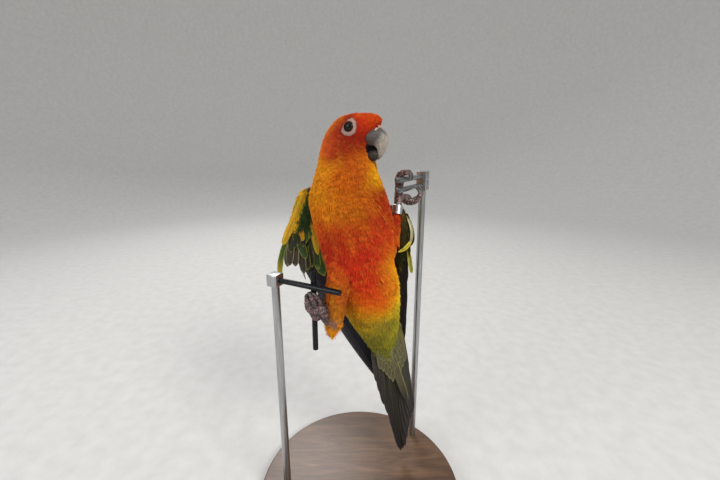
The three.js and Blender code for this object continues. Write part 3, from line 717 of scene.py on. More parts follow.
def armColour(points, side):
    # by the place along and across the sheet and above it, in millimetres
    rows = {key: colour(tone) for key, tone in spots[side + "Arm"].items()}
    s, t, h = sheets[side].find(points)
    spot = waves(points, 7, 21)[:, None]
    if side == "right":
        edge = t - np.interp(s, [-27, -20, -12, -8, -4, 0, 4], [27, 19, 12, 8.5, 3.5, -1.5, -3])
        front = mix(rows["edge"], rows["front"], ease(6, 9.5, edge + spot[:, 0])[:, None])
        lime = np.exp(-((s + 18) / 4) ** 2 - ((edge - 6) / 3) ** 2)[:, None]
        front = mix(front, rows["patch"], lime)
        front = mix(front, rows["front"], ease(4, 9, s)[:, None])
        back = mix(rows["back"], rows["backPatch"], ease(0, 0.5, spot))
        return mix(back, front, ease(-2, 0, h)[:, None])
    inner = mix(rows["under"], rows["front"], ease(1, 3, h + spot[:, 0])[:, None])
    inner = mix(inner, rows["rim"], ease(4.2, 5.4, h + spot[:, 0] * 0.5)[:, None])
    inner = mix(inner, rows["front"], ease(14, 26, s)[:, None])
    outer = mix(rows["out"], rows["outPatch"], ease(-0.1, 0.5, spot))
    return mix(inner, outer, (ease(3, 7, t) * ease(-1, 1.5, h))[:, None])


def plumageColour(points, region, stray=0.0):
    z = points[:, 2] + waves(points, *spots["wanderUp"][:2]) * spots["wanderUp"][2]
    angle = bodyPlace(points) + waves(points, *spots["wanderRound"][:2]) * spots["wanderRound"][2]
    head = blendSpots(spots["head"], z, np.abs(angle))
    tone = mix(blendSpots(spots["body"], z, angle), head, ease(*spots["headFrom"], z)[:, None])
    most = mix(*spots["warmMost"], ease(282, 292, z))[:, None]
    cool = mottled(tone, points, stray, "cool", spots["coolMost"])
    tone = mix(cool, mottled(tone, points, stray, "warm", most), ease(*spots["coolBelow"], z)[:, None])
    leg = np.zeros_like(tone)
    for side, number in thighs.items():
        rows = spots["thigh" + side.title()][::-1]
        heights, tints = [row[0] for row in rows], np.array([colour(row[1]) for row in rows])
        own = np.stack([np.interp(z, heights, tints[:, k]) for k in range(3)], -1)
        leg[region == number] = own[region == number]
    leg = mottled(leg, points, stray, "warm", spots["thighMost"])
    # painted shade at the right ankle, and the grey-blue patch, mixed into the thigh's colours
    for place, reach, tint in spots["paintedShadeAndGrey"]:
        near = np.exp(-(np.linalg.norm(points - np.array(place), axis=1) / reach) ** 2)[:, None]
        leg = mix(leg, colour(tint), near * 0.8)
    fromTrunk = np.array([sourceTrees[0].find_nearest(p)[3] for p in points.tolist()])
    share = ease(-0.5, 4, fromTrunk)[:, None] * np.isin(region, list(thighs.values()))[:, None]
    tone = mix(tone, leg, share)
    for side, number in arms.items():
        chosen = region == number
        if chosen.any():
            tone[chosen] = armColour(points[chosen], side)
    # the skin inside the open mouth is painted near-black as painted shade
    tone = np.where(inMouth(points)[:, None], colour(spots["mouth"]), tone)
    return np.clip(tone, 0, 1)


armMiddles = {"right": (-45, 10, 222), "left": (28, 22, 225)}


def turnShare(points, x, y):
    # share of a full turn round an upright line
    return np.arctan2(points[:, 1] - y, points[:, 0] - x) / (2 * math.pi) + 0.5


def unwrapAt(points, region):
    # each part of the skin unrolled round its own middle line, side by side on the map
    z = points[:, 2]
    rows = slicesAt(z)
    turn = turnShare(points, rows[:, 0], rows[:, 1])
    place = np.column_stack([0.02 + 0.5 * turn, 0.02 + 0.94 * (z - 115) / 206])
    limbs = []
    for column, (side, number) in enumerate(thighs.items()):
        path = np.array(thighForms[side]["path"], float)
        share = (z - path[:, 2].min() + 12) / (np.ptp(path[:, 2]) + 24)
        limbs.append((column, number, path.mean(0), np.clip(0.02 + 0.44 * share, 0.02, 0.46)))
    for column, (side, number) in enumerate(arms.items()):
        middle = armMiddles[side]
        limbs.append((column, number, middle, np.clip(0.52 + 0.44 * (z - middle[2] + 45) / 90, 0.5, 0.97)))
    for column, number, middle, up in limbs:
        chosen = region == number
        turn = turnShare(points, middle[0], middle[1])
        place[chosen, 0] = (0.55 + 0.2 * column + 0.17 * turn)[chosen]
        place[chosen, 1] = up[chosen]
    return place


def barbs(finish, slant, fine):
    # on the feather's own map: the place, the distance from the shaft and fine ridges slanting off it
    where = finish.node("UVMap", uv_map="barbs").outputs["UV"]
    across, along, _ = finish.node("SeparateXYZ", {"Vector": where}).outputs
    fromShaft = finish.math("ABSOLUTE", finish.math("SUBTRACT", across, 0.5))
    slanted = finish.scaled(fromShaft, slant, along)
    return where, fromShaft, finish.math("SINE", finish.math("MULTIPLY", slanted, fine))


def plumeFinish(name, roughness=0.62):
    finish = Finish(name, roughness=roughness, Sheen_Weight=0.03, Sheen_Roughness=0.5, Specular_IOR_Level=0.1)
    ridges = barbs(finish, -0.9, 150)[2]
    fuzz = finish.grain((900, 900, 500))
    tint = finish.scaled(ridges, 0.05, finish.scaled(fuzz, 0.5, 0.76))
    finish.link(finish.shaded(finish.plume(), tint, [(0, 0), (1, 1)]), "Base Color")
    finish.bump(finish.scaled(ridges, 0.35, fuzz), 0.35)
    return finish.material


def values(items, key, width, kind=np.float32):
    made = np.empty(len(items) * width, kind)
    items.foreach_get(key, made)
    return made.reshape(-1, width)


def makeSkin():
    piece = meshPiece("skin", together(sources))
    applied(piece, "REMESH", mode="VOXEL", voxel_size=skinForm["grain"] * mm, adaptivity=0)
    applied(piece, "SMOOTH", factor=0.5, iterations=skinForm["smoothing"])
    points = values(piece.data.vertices, "co", 3).astype(float) / mm
    normals = values(piece.data.vertices, "normal", 3).astype(float)
    return piece, points, normals, values(piece.data.loops, "vertex_index", 1, np.int32).reshape(-1, 4)


skin, skinPoints, skinNormals, skinQuads = makeSkin()
skinTree = BVHTree.FromPolygons(skinPoints.tolist(), skinQuads.tolist())
print("skin", len(skinQuads) * 2, "triangles")


def onSkin(points):
    # nearest places on the skin and the smooth normals there
    hits = [skinTree.find_nearest(p) for p in points.reshape(-1, 3).tolist()]
    place = np.array([h[0] for h in hits])
    quads = skinQuads[[h[2] for h in hits]]
    weight = 1 / (np.linalg.norm(skinPoints[quads] - place[:, None], axis=-1) + 0.15)
    normal = unit((skinNormals[quads] * weight[..., None]).sum(1))
    return place.reshape(points.shape), normal.reshape(points.shape)


def dressSkin():
    region = regionOf(skinPoints)
    place = unwrapAt(skinPoints, region)
    # the skin takes the plumage's colours, darkened as painted shade beneath the feathers
    tones = plumageColour(skinPoints, region) * skinForm["shade"]
    dress(skin.data, skinQuads.ravel(), tones, {"OFBake": place, "barbs": place})
    skin.data.materials.append(plumeFinish("underFeathers", 0.8))
    skin.data.shade_smooth()
    carry(skin, ["head", "neck", "torso", "thigh_right", "thigh_left"])


# Coat of small feathers
billRoot = facePoint(14, -6)
coatForm = {
    "bill": 0.58,  # spacing of the feathers at the bill and round the eye
    "head": 0.8,
    "neck": 1.08,
    "body": 1.4,
    "thigh": 1.15,
    "arm": 1.45,
    "long": 4.4,  # length and width as shares of the spacing
    "wide": 2.5,
    "blades": 6,
    "neckFrom": (245, 280),  # heights between which each spacing and the way of the head take over
    "headFrom": (278, 300),
    "fanFrom": (276, 300),
    "billNear": (5, 20),  # distances from the bill's root
    "tries": 7,  # places tried for each feather
    "apart": 0.86,  # least distance of two roots as a share of the spacing
    "ruffled": {"share": 0.02, "lift": 1.5, "loose": 0.25},  # a few feathers stand up a little
    "ankle": {"from": (181, 172), "longer": 0.5},
    "short": 0.24,  # how much shorter the outer blades are
    "splay": 0.09,
    "uneven": 0.09,
    "steep": 0.14,
    "steps": (0.08, 0.62, 1),  # root, middle and tip of a blade: along, sideways, height
    "spread": (0.35, 0.9, 1.08),
    "rise": (0, 0.72, 1),
    "fade": (0.55, 0.9, 1.08),
    "stray": {"way": 0.13, "long": 0.14, "wide": 0.08, "lift": 0.22, "tone": 0.07, "blade": 0.08},
}
bladeRing = [0, 0, 0, 1, 1, 1, 2]  # the step of a blade that each of its points belongs to


def spacingAt(points, region):
    z = points[:, 2]
    size = mix(coatForm["body"], coatForm["neck"], ease(*coatForm["neckFrom"], z))
    size = mix(size, coatForm["head"], ease(*coatForm["headFrom"], z))
    near = np.linalg.norm(points - billRoot, axis=1)
    size = mix(coatForm["bill"], size, ease(*coatForm["billNear"], near))
    size = np.where(np.isin(region, list(thighs.values())), coatForm["thigh"], size)
    return np.where(np.isin(region, list(arms.values())), coatForm["arm"], size)


def lieAt(points, normals, region):
    # feathers lie down the body, away from the bill on the head and along the limbs
    z = points[:, 2]
    rows, lower = slicesAt(z, 122, 314), slicesAt(z, 122, 314, 2)
    down = np.column_stack([lower[:, :2] - rows[:, :2], np.full(len(z), -2.0)])
    fromBill = unit(points - facePoint(16, -2))
    fromBill[:, 2] -= 0.25
    way = mix(unit(down), unit(fromBill), ease(*coatForm["fanFrom"], z)[:, None])
    for side, number in thighs.items():
        path = np.array(thighForms[side]["path"], float)
        way[region == number] = unit(path[-1] - path[0])
    for side, number in arms.items():
        way[region == number] = unit(sheets[side](10, 0, 0) - sheets[side](0, 0, 0))
    way = way + 0.1 * np.column_stack([waves(points, 7, 31 + k) for k in range(3)])
    return unit(way - normals * (way * normals).sum(1, keepdims=True))


def coatRoots():
    tris = np.vstack([skinQuads[:, [0, 1, 2]], skinQuads[:, [0, 2, 3]]])
    a, b, c = (skinPoints[tris[:, k]] for k in range(3))
    area = np.linalg.norm(np.cross(b - a, c - a), axis=1) / 2
    middle = (a + b + c) / 3
    triRegion = regionOf(middle)
    dense = area / spacingAt(middle, triRegion) ** 2
    count = int(dense.sum() * coatForm["tries"])
    picked = rng.choice(len(tris), count, p=dense / dense.sum())
    u, v = rng.random(count), rng.random(count)
    flip = u + v > 1
    u, v = np.where(flip, 1 - u, u), np.where(flip, 1 - v, v)
    points = a[picked] + (b - a)[picked] * u[:, None] + (c - a)[picked] * v[:, None]
    region = triRegion[picked]
    reach = spacingAt(points, region) * coatForm["apart"]
    tree = KDTree(count)
    for i, p in enumerate(points.tolist()):
        tree.insert(p, i)
    tree.balance()
    taken = np.zeros(count, bool)
    kept = []
    for i, p in enumerate(points.tolist()):
        if taken[i]:
            continue
        kept.append(i)
        for _, other, _ in tree.find_range(p, reach[i]):
            taken[other] = True
    return points[kept], region[kept]


def featherArrays(roots, normals, ways, long, wide, lift, loose):
    # a feather is a fan of narrow blades, each with two rings of three points and a tip;
    # a loose one stands off the skin along its own way
    count, blades = len(roots), coatForm["blades"]
    sides = unit(np.cross(normals, ways))[:, None]
    k = np.linspace(-1, 1, blades) + coatForm["splay"] * rng.normal(size=(count, blades))
    own = long[:, None] * (1 - coatForm["short"] * k ** 2) * (1 + coatForm["uneven"] * rng.normal(size=k.shape))
    across = k * wide[:, None] / 2
    centres = np.stack([
        roots[:, None] + ways[:, None] * (own * step)[..., None] + sides * (across * out)[..., None]
        for step, out in zip(coatForm["steps"], coatForm["spread"])
    ])
    place, normal = onSkin(centres)
    free = loose[None, :, None, None] * np.array(coatForm["rise"])[:, None, None, None]
    place = mix(place, centres, free)
    tall = lift[:, None] * (1 + coatForm["steep"] * rng.normal(size=k.shape)) - 0.07 * wide[:, None] * k ** 2
    half = (wide / blades * 0.78)[:, None, None]
    points = []
    for ring, thick in ((0, 0.6), (1, 1)):
        centre = place[ring] + normal[ring] * (tall * coatForm["rise"][ring] - 0.15)[..., None]
        points += [centre - sides * half * thick, centre + sides * half * thick,
                   centre + normal[ring] * half * 0.6 * thick]
    points.append(place[2] + normal[2] * (tall - 0.1)[..., None])
    return np.stack(points, axis=2), k


def bladeFaces(count):
    i = np.arange(3)
    j = (i + 1) % 3
    quads = np.stack([i, j, j + 3, i + 3], -1)
    tris = np.vstack([[(2, 1, 0)], np.stack([i + 3, j + 3, 0 * i + 6], -1)])
    shift = (np.arange(count) * 7)[:, None, None]
    return [(f[None] + shift).reshape(-1, f.shape[1]) for f in (quads, tris)]


def featherMaps(roots, region, k):
    # where each point lies across and along its feather, and its small patch on the skin's unwrap
    along = np.array(coatForm["steps"])[bladeRing]
    side = np.array([-0.1, 0.1, 0, -0.1, 0.1, 0, 0])
    across = 0.5 + k[..., None] * np.array(coatForm["spread"])[bladeRing] * 0.42 + side * 0.5
    own = np.stack([across, np.broadcast_to(along, across.shape)], -1)
    patch = unwrapAt(roots, region)[:, None, None] + (own - 0.5) * 0.003
    return {"OFBake": patch.reshape(-1, 2), "barbs": own.reshape(-1, 2)}


def coatPiece(name, roots, region, material, plan=None):
    # plan: the form of loose feathers, which don't follow the coat
    plan, vary, count = plan or {}, coatForm["stray"], len(roots)
    size = spacingAt(roots, region)
    stray = rng.normal(size=(count, 4))
    _, normals = onSkin(roots)
    ways = unit(np.array(plan["way"]) + normals * plan["out"]) if plan else lieAt(roots, normals, region)
    sides = np.cross(normals, ways)
    ways = unit(ways + sides * (stray[:, 0] * plan.get("fan", vary["way"]))[:, None])
    long = plan.get("long", size * coatForm["long"]) * (1 + vary["long"] * stray[:, 1])
    if not plan:
        ankle = ease(*coatForm["ankle"]["from"], roots[:, 2])
        long = long * np.where(region == thighs["right"], 1 + coatForm["ankle"]["longer"] * ankle, 1)
    wide = plan.get("wide", size * coatForm["wide"]) * (1 + vary["wide"] * stray[:, 2])
    lift = coatDepth(roots[:, 2]) * (1 + vary["lift"] * stray[:, 3])
    ruffled = rng.random(count) < coatForm["ruffled"]["share"]
    lift = np.where(ruffled, lift * coatForm["ruffled"]["lift"], lift)
    loose = np.where(ruffled, coatForm["ruffled"]["loose"], plan.get("loose", 0.0))
    points, k = featherArrays(roots, normals, ways, long, wide, lift, loose)
    tones = plumageColour(roots + ways * (long * 0.7)[:, None], region, stray[:, 1] * 0.3)
    if plan:
        tones = mix(colour(plan["tones"][0]), colour(plan["tones"][1]), rng.random((count, 1)))
    tones = tones * (1 + vary["tone"] * rng.normal(size=(count, 1)))
    blades = 1 + vary["blade"] * rng.normal(size=k.shape)[..., None, None]
    fade = np.array(coatForm["fade"])[bladeRing, None]
    painted = np.clip(tones[:, None, None] * blades * fade, 0, 1).reshape(-1, 3)
    faces = bladeFaces(k.size)
    if volumeOf(points[0, 0], bladeFaces(1)) < 0:
        faces = [f[:, ::-1] for f in faces]
    shape = (points.reshape(-1, 3), faces)
    carry(meshPiece(name, shape, material, 60, painted, featherMaps(roots, region, k)))
    print(name, count, "feathers", k.size * 10, "triangles")


cereForm = {
    "forward": 18.2,
    "up": -4.2,
    "slope": -17,
    "high": 6.7,
    "wide": 5.9,
    "turn": 50,
    "radius": 0.95,
    "clear": 1.5,  # no feathers nearer than this
    "nostril": 27,
}


def cerePath(turns=None, out=0.0):
    angle = np.radians(np.linspace(-cereForm["turn"], cereForm["turn"], 15) if turns is None else turns)
    slope, tall = math.radians(cereForm["slope"]), np.cos(angle) * (cereForm["high"] + out)
    return facePoint(cereForm["forward"] - math.sin(slope) * tall, cereForm["up"] + math.cos(slope) * tall,
                     np.sin(angle) * (cereForm["wide"] + out))


def bareFace(points):
    # the eye rings and the mouth carry no feathers
    forward, up, right = faceOwn(points)
    ahead, above = forward - eyeForm["forward"], up - eyeForm["up"]
    eye = (np.hypot(ahead, above) < ringReach(np.arctan2(above, ahead)) + 0.1) & (np.abs(right) > 5)
    saddle = np.min([np.linalg.norm(points - p, axis=1) for p in cerePath()], axis=0) < cereForm["clear"]
    return eye | inMouth(points) | saddle


def inside(tree, points, margin, reach=8):
    # whether points lie beneath a surface that is within reach
    hits = [tree.find_nearest(p) for p in points.tolist()]
    return np.array([
        away < reach and (Vector(p) - place).dot(normal) < margin
        for p, (place, normal, _, away) in zip(points.tolist(), hits)
    ])


# Bill
billForms = {
    "upper": [  # forward, up, slope, half height, half width, narrowness of the ridge
        (7, -4, 0, 6, 6, 1), (13, -3.6, -2, 6.6, 6.8, 1), (17.5, -3.8, -12, 6.4, 6.4, 0.85),
        (21.2, -6, -38, 5.9, 5.4, 0.8), (22.6, -9.6, -64, 4.4, 4.3, 0.75), (22, -13.2, -86, 2.6, 3.2, 0.75),
        (20.9, -16.4, -108, 1.6, 1.9, 0.8),
    ],
    "upperTip": (19.2, -19.4),
    "lower": [
        (6, -16.8, 4, 3.6, 5.4, 1), (11, -16.8, 5, 3.8, 5.4, 1), (15.2, -16.2, 12, 3.8, 4.9, 1),
        (18, -15.3, 24, 3.3, 3.9, 1), (19.6, -14.4, 36, 2.5, 2.8, 1),
    ],
    "lowerTip": (20.4, -13.8),
    "shrink": (0.8, 0.6, 0.42, 0.24),  # rings between the last one and the tip
    "steps": 7,
    "corners": 48,
}


def billShape(which):
    stations = smoothPath(billForms[which], billForms["steps"])
    angle = circle(billForms["corners"])
    rings = []
    for forward, up, slope, high, wide, ridge in stations:
        slope = math.radians(slope)
        pinch = np.where(np.cos(angle) > 0, mix(1, ridge, np.cos(angle)), 1)
        tall = np.cos(angle) * high
        side = np.sin(angle) * wide * pinch
        rings.append(facePoint(forward - math.sin(slope) * tall, up + math.cos(slope) * tall, side))
    tip = facePoint(*billForms[which + "Tip"])
    return loft(rings + [tip + (rings[-1] - tip) * k for k in billForms["shrink"]], None, tip)


def hornFinish(name, steps, rough):
    # the plume attribute holds the way round the bill and the way along it
    finish = Finish(name, roughness=0.4, Specular_IOR_Level=0.5 - rough / 2)
    grow = finish.plume("Vector")
    along = finish.node("SeparateXYZ", {"Vector": grow}).outputs[2]
    streaks = finish.noise(finish.stretch(grow, (9, 9, 1.6)), 1, 5, 0.6)
    cloud = finish.grain(300, 5, 0.6)
    tone = finish.ramp(finish.scaled(cloud, 0.3, finish.math("SUBTRACT", along, 0.15)), steps)
    shade = finish.scaled(streaks, 1.5, finish.scaled(cloud, 0.7, -0.3))
    finish.link(finish.shaded(tone, shade, [(0, 0.12), (1, 1.0)]), "Base Color")
    finish.link(finish.scaled(streaks, 0.3, rough), "Roughness")
    finish.bump(finish.math("ADD", streaks, cloud), 0.3, 0.00025)
    return finish.material


def billGrow(which):
    # the way round and along the bill, ring by ring, and a middle value for the two ends
    count = billForms["steps"] * (len(billForms[which]) - 1) + 1 + len(billForms["shrink"])
    angle = circle(billForms["corners"])
    rows = np.column_stack([
        np.tile(0.5 + 0.5 * np.cos(angle), count),
        np.tile(0.5 + 0.5 * np.sin(angle), count),
        np.repeat(np.linspace(0, 1, count), len(angle)),
    ])
    return np.vstack([rows, [[0.5, 0.5, 0]] * 2])


billPaints = {  # tones from the root to the tip, roughness; the lower bill's near-black tones are its own dark grey, darkened further as painted shade beneath the upper bill
    "upper": ([(0.2, (0.09, 0.075, 0.068)), (0.42, (0.12, 0.105, 0.092)), (0.58, (0.4, 0.35, 0.29)),
               (0.85, (0.36, 0.32, 0.26)), (1.0, (0.14, 0.12, 0.1))], 0.24),
    "lower": ([(0.1, (0.010, 0.008, 0.007)), (0.9, (0.062, 0.046, 0.038))], 0.5),
}


def makeBill():
    trees = []
    for which, paint in billPaints.items():
        shape = billShape(which)
        horn = hornFinish(which + "Horn", *paint)
        carry(meshPiece("bill" + which.title(), shape, horn, 60, billGrow(which)), ["beak_" + which])
        trees.append(treeOf(shape))
    return trees


def makeCere():
    # the bare saddle over the bill's base, with near-black nostrils and a near-black piece in the open mouth, both
    # painted shade in those hollows
    path = cerePath()
    radius = cereForm["radius"] * (0.35 + 0.65 * np.cos(np.linspace(-1.2, 1.2, len(path))))
    finish = Finish("bareCere", roughness=0.55, Subsurface_Weight=0.08, Subsurface_Radius=(0.002, 0.001, 0.0006))
    folds = finish.grain(1400, 5, 0.6)
    finish.tint(folds, [(0.3, colour("a0786c")), (0.7, colour("dcb8aa"))])
    finish.bump(folds, 0.5, 0.0003)
    carry(meshPiece("cere", tube(path, radius, 16, 5), finish.material, 60))
    # near-black and without shine: painted shade in the nostrils and the open mouth
    dark = Finish("paintedShadePit", roughness=0.9, Specular_IOR_Level=0.1)
    dark.tint(dark.grain(900), [(0.3, (0.002, 0.0015, 0.0015)), (0.7, (0.012, 0.007, 0.006))])
    for side, name in ((1, "nostrilRight"), (-1, "nostrilLeft")):
        turns = side * (cereForm["nostril"] + np.array([-6.0, 0, 6]))
        carry(meshPiece(name, tube(cerePath(turns, 0.35), [0.55, 0.7, 0.55], 14, 3), dark.material, 60))
    mouth = [facePoint(9, -12.2), facePoint(13, -12.2), facePoint(16, -11.6), facePoint(17.6, -11.2)]
    carry(meshPiece("mouthShadePiece", tube(mouth, [3.2, 3.2, 2.8, 1.8], 20, 5), dark.material, 60))


# Eyes and the bare rings round them
def makeEyes():
    for side, name in ((1, "eyeRight"), (-1, "eyeLeft")):
        centre = facePoint(eyeForm["forward"], eyeForm["up"], side * eyeForm["out"])
        deselect()
        bpy.ops.mesh.primitive_uv_sphere_add(
            segments=64, ring_count=40, radius=eyeForm["radius"] * mm, location=centre * mm)
        ball = bpy.context.object
        ball.name = name
        settle(ball)
        bpy.ops.object.shade_smooth()
        pupil = facePoint(eyeForm["forward"] + 0.2, eyeForm["up"], side * (eyeForm["out"] + eyeForm["radius"]))
        own = Finish(name + "Gloss", roughness=0.1, Coat_Weight=0.1, Coat_Roughness=0.03, Specular_IOR_Level=0.15)
        ends = {0: own.place(), 1: tuple(pupil * mm)}
        away = own.node("VectorMath", ends, operation="DISTANCE").outputs["Value"]
        share = own.scaled(own.grain(900, 4), 0.12, own.math("MULTIPLY", away, 250))
        own.tint(share, [(0.42, 0.003), (0.5, (0.02, 0.009, 0.005)), (0.8, (0.014, 0.007, 0.005)), (0.95, 0.004)])
        ball.data.materials.append(own.material)
        carry(ball, ["eye_right" if side > 0 else "eye_left"])


lidRim = [  # from the inner to the outer edge: share of the way, height, tone; the near-black inner edge is the lid's own rim, and the darker tones in the low folds and at the outer edge under the feathers are painted shade
    (-0.16, -1.4, "181010"), (-0.06, 0.0, "181010"), (0.0, 0.66, "2c1c1a"), (0.07, 1.0, "7a524a"),
    (0.16, 1.12, "c09488"), (0.25, 0.9, "aa8074"), (0.33, 0.98, "d6aea2"), (0.42, 0.9, "cca498"),
    (0.5, 0.68, "a8827a"), (0.6, 0.74, "d2a89c"), (0.7, 0.52, "c8a094"), (0.8, 0.3, "ac847a"),
    (0.9, 0.3, "c49a8e"), (1.0, 0.0, "a07468"), (1.08, -0.8, "804e44"), (1.08, -3, "804e44"), (0.2, -3, "181010"),
]


def makeLids():
    finish = Finish("bareLid", roughness=0.55, Subsurface_Weight=0.08, Subsurface_Radius=(0.002, 0.001, 0.0006))
    folds = finish.grain(1500, 5, 0.6)
    finish.link(finish.shaded(finish.plume(), folds, [(0.3, 0.42), (0.7, 0.8)]), "Base Color")
    finish.bump(folds, 0.5, 0.0003)
    angle = circle(120)
    fold = 0.06 * np.sin(angle * 19 + 3 * np.sin(angle * 2))
    tones = np.repeat([colour(tone) for _, _, tone in lidRim], len(angle), axis=0)
    for side, name in ((1, "lidRight"), (-1, "lidLeft")):
        out = unit(faceRight * side + faceForward * 0.12 + np.array([0, 0, 0.16]))
        ahead = unit(faceForward - out * (faceForward @ out))
        up = np.cross(out, ahead) * (1 if np.cross(out, ahead)[2] > 0 else -1)
        middle = facePoint(eyeForm["forward"], eyeForm["up"], side * ringForm["out"])
        rings = []
        for share, high, _ in lidRim:
            radius = mix(ringForm["inner"], ringReach(angle), share)
            lift = high + fold * (0.1 < share < 1) * (1 + share)
            rings.append(middle + spokes(angle, ahead, up) * radius[:, None] + out * lift[:, None])
        shape = outward(np.vstack(rings), [ringQuads(len(lidRim), len(angle), True)])
        carry(meshPiece(name, shape, finish.material, 60, tones))


billTrees = makeBill()
makeCere()
makeEyes()
makeLids()
print("head pieces ready")

dressSkin()
roots, rootRegion = coatRoots()
clear = ~bareFace(roots)
for billTree in billTrees:
    clear &= ~inside(billTree, roots, 0.35)
roots, rootRegion = roots[clear], rootRegion[clear]
print("coat roots", len(roots))
bodyPlume = plumeFinish("bodyPlume")


coatBands = [  # the trunk's coat from the top down: piece, lowest height, slot
    ("coatCrown", 306, "plumage_head"), ("coatCheek", 292, "plumage_head"), ("coatNape", 270, "plumage_neck"),
    ("coatBreast", 244, "plumage_torso"), ("coatFlank", 216, "plumage_torso"), ("coatBelly", 184, "plumage_torso"),
    ("coatVent", 0, "plumage_tail"),
]
looseForms = {
    "ankle": {
        "way": (-0.12, -0.1, -1), "out": 0.24, "fan": 0.12, "long": 3.8, "wide": 2.8, "loose": 1.0,
        "tones": ("e8a010", "d8780c"), "below": 178, "bare": 3.4,
    },
    "strands": {
        "way": (0.02, -0.1, -1), "out": 0.02, "fan": 0.08, "long": 10, "wide": 2.6, "loose": 0.7,
        "tones": ("f08a10", "d84c10"), "between": (233, 248), "left": 21, "front": 14,
    },
}


def makeCoat():
    x, y, z = roots.T
    groups, top = [], math.inf
    for name, low, slot in coatBands:
        groups.append((name, slot, (rootRegion == 0) & (z >= low) & (z < top)))
        top = low
    for limb, numbers, slot in (("coatThigh", thighs, "plumage_thigh"), ("coatArm", arms, "plumage_wing")):
        for side, number in numbers.items():
            groups.append((limb + side.title(), slot, rootRegion == number))
    for name, slot, chosen in groups:
        coatPiece(name, roots[chosen], rootRegion[chosen], bodyPlume)
    plan = looseForms["ankle"]
    bare = np.linalg.norm(roots - np.array(spots["paintedShadeAndGrey"][-1][0]), axis=1) < plan["bare"]
    chosen = np.flatnonzero((rootRegion == thighs["right"]) & (z < plan["below"]) & ~bare)[::2]
    coatPiece("ankleTuft", roots[chosen], rootRegion[chosen], bodyPlume, plan)
    plan = looseForms["strands"]
    low, high = plan["between"]
    flank = np.isin(rootRegion, [0, thighs["left"]]) & (z > low) & (z < high)
    chosen = np.flatnonzero(flank & (x > plan["left"]) & (y < plan["front"]))[::3]
    coatPiece("flankStrands", roots[chosen], rootRegion[chosen], bodyPlume, plan)


makeCoat()

# Large feathers on the sheets
outlines = {  # share of the length, share of the width
    "pointed": [(0, 0.5), (0.12, 0.8), (0.3, 1), (0.65, 0.92), (0.82, 0.74), (0.92, 0.52), (0.98, 0.28),
                (1, 0.1)],
    "round": [(0, 0.5), (0.15, 0.8), (0.35, 0.97), (0.75, 1), (0.88, 0.86), (0.95, 0.62), (0.99, 0.3), (1, 0.12)],
    "cover": [(0, 0.5), (0.2, 0.8), (0.5, 1), (0.75, 0.97), (0.9, 0.76), (0.97, 0.42), (1, 0.14)],
    "tail": [(0, 0.7), (0.2, 0.95), (0.4, 1), (0.8, 0.86), (0.9, 0.7), (0.96, 0.46), (1, 0.1)],
}
plateAcross = np.array([-1, -0.72, -0.4, -0.1, 0, 0.1, 0.4, 0.72, 1])
plateRows = 18
plateForm = {  # what the plan of a large feather can change
    "outline": "round",
    "narrow": 0,  # how much wider one vane is than the other
    "bow": 0,
    "thick": 0.34,
    "height": 0,
    "lift": 0,  # rise from root to tip
    "tilt": 0,  # rise across
    "cup": 0.35,
    "curl": 0,
    "ragged": 0.9,  # how unevenly a row's tips end
}
paintForm = {  # and what its paint can
    "tip": None,
    "tipFrom": (0.6, 0.95),
    "edge": None,
    "edgeSide": "both",
    "edgeFrom": 0.62,
    "tipEdge": 1,
    "underTip": None,
    "underEdge": None,
}


def plate(place, line, plan):
    # one large feather as a thin closed plate; line: its root and its tip, each as the places along
    # and across the sheet, and its width
    plan = {**plateForm, **plan}
    rootS, rootT, tipS, tipT, wide = line
    runS, runT = tipS - rootS, tipT - rootT
    length = math.hypot(runS, runT)
    along = np.linspace(0, 1, plateRows)[:, None] ** 0.85
    u = plateAcross[None]
    outline = np.array(outlines[plan["outline"]])
    share = np.interp(along, outline[:, 0], outline[:, 1])
    ragged = rng.normal(size=(plateRows, 1)) * 0.025
    half = wide / 2 * share * (1 + ragged * np.abs(u)) * (1 + plan["narrow"] * np.sign(u))
    offset = u * half
    aside = plan["bow"] * np.sin(along * math.pi) + offset
    s = rootS + runS * along - runT / length * aside
    t = rootT + runT * along + runS / length * aside
    shaft = (np.abs(u) < 0.05) * 0.22 * (1 - 0.7 * along)
    level = plan["height"] + plan["lift"] * along + plan["tilt"] * offset
    level = level + plan["cup"] * (1 - u ** 2) * share + plan["curl"] * along ** 3
    body = plan["thick"] * (1 - 0.62 * np.abs(u)) * (1 - 0.45 * along)
    top = place(s, t, level + body + shaft)
    low = place(s, t, level - shaft * 0.6)
    across = len(plateAcross)
    size = plateRows * across
    points = np.vstack([top.reshape(-1, 3), low.reshape(-1, 3)])
    r = np.arange(plateRows - 1)[:, None] * across
    c = np.arange(across - 1)
    upper = np.stack([r + c, r + c + 1, r + across + c + 1, r + across + c], -1).reshape(-1, 4)
    under = upper[:, ::-1] + size
    rim = np.concatenate([
        np.arange(across),
        np.arange(1, plateRows) * across + across - 1,
        (plateRows - 1) * across + np.arange(across - 2, -1, -1),
        np.arange(plateRows - 2, 0, -1) * across,
    ])
    following = np.roll(rim, -1)
    walls = np.stack([following, rim, rim + size, following + size], -1)
    shape = outward(points, [upper, under, walls])
    own = np.column_stack([
        np.broadcast_to(0.5 + u / 2, (plateRows, across)).ravel(),
        np.broadcast_to(along, (plateRows, across)).ravel(),
    ])
    return shape, np.vstack([own, own]), plateColours(plan["paint"], u, along)


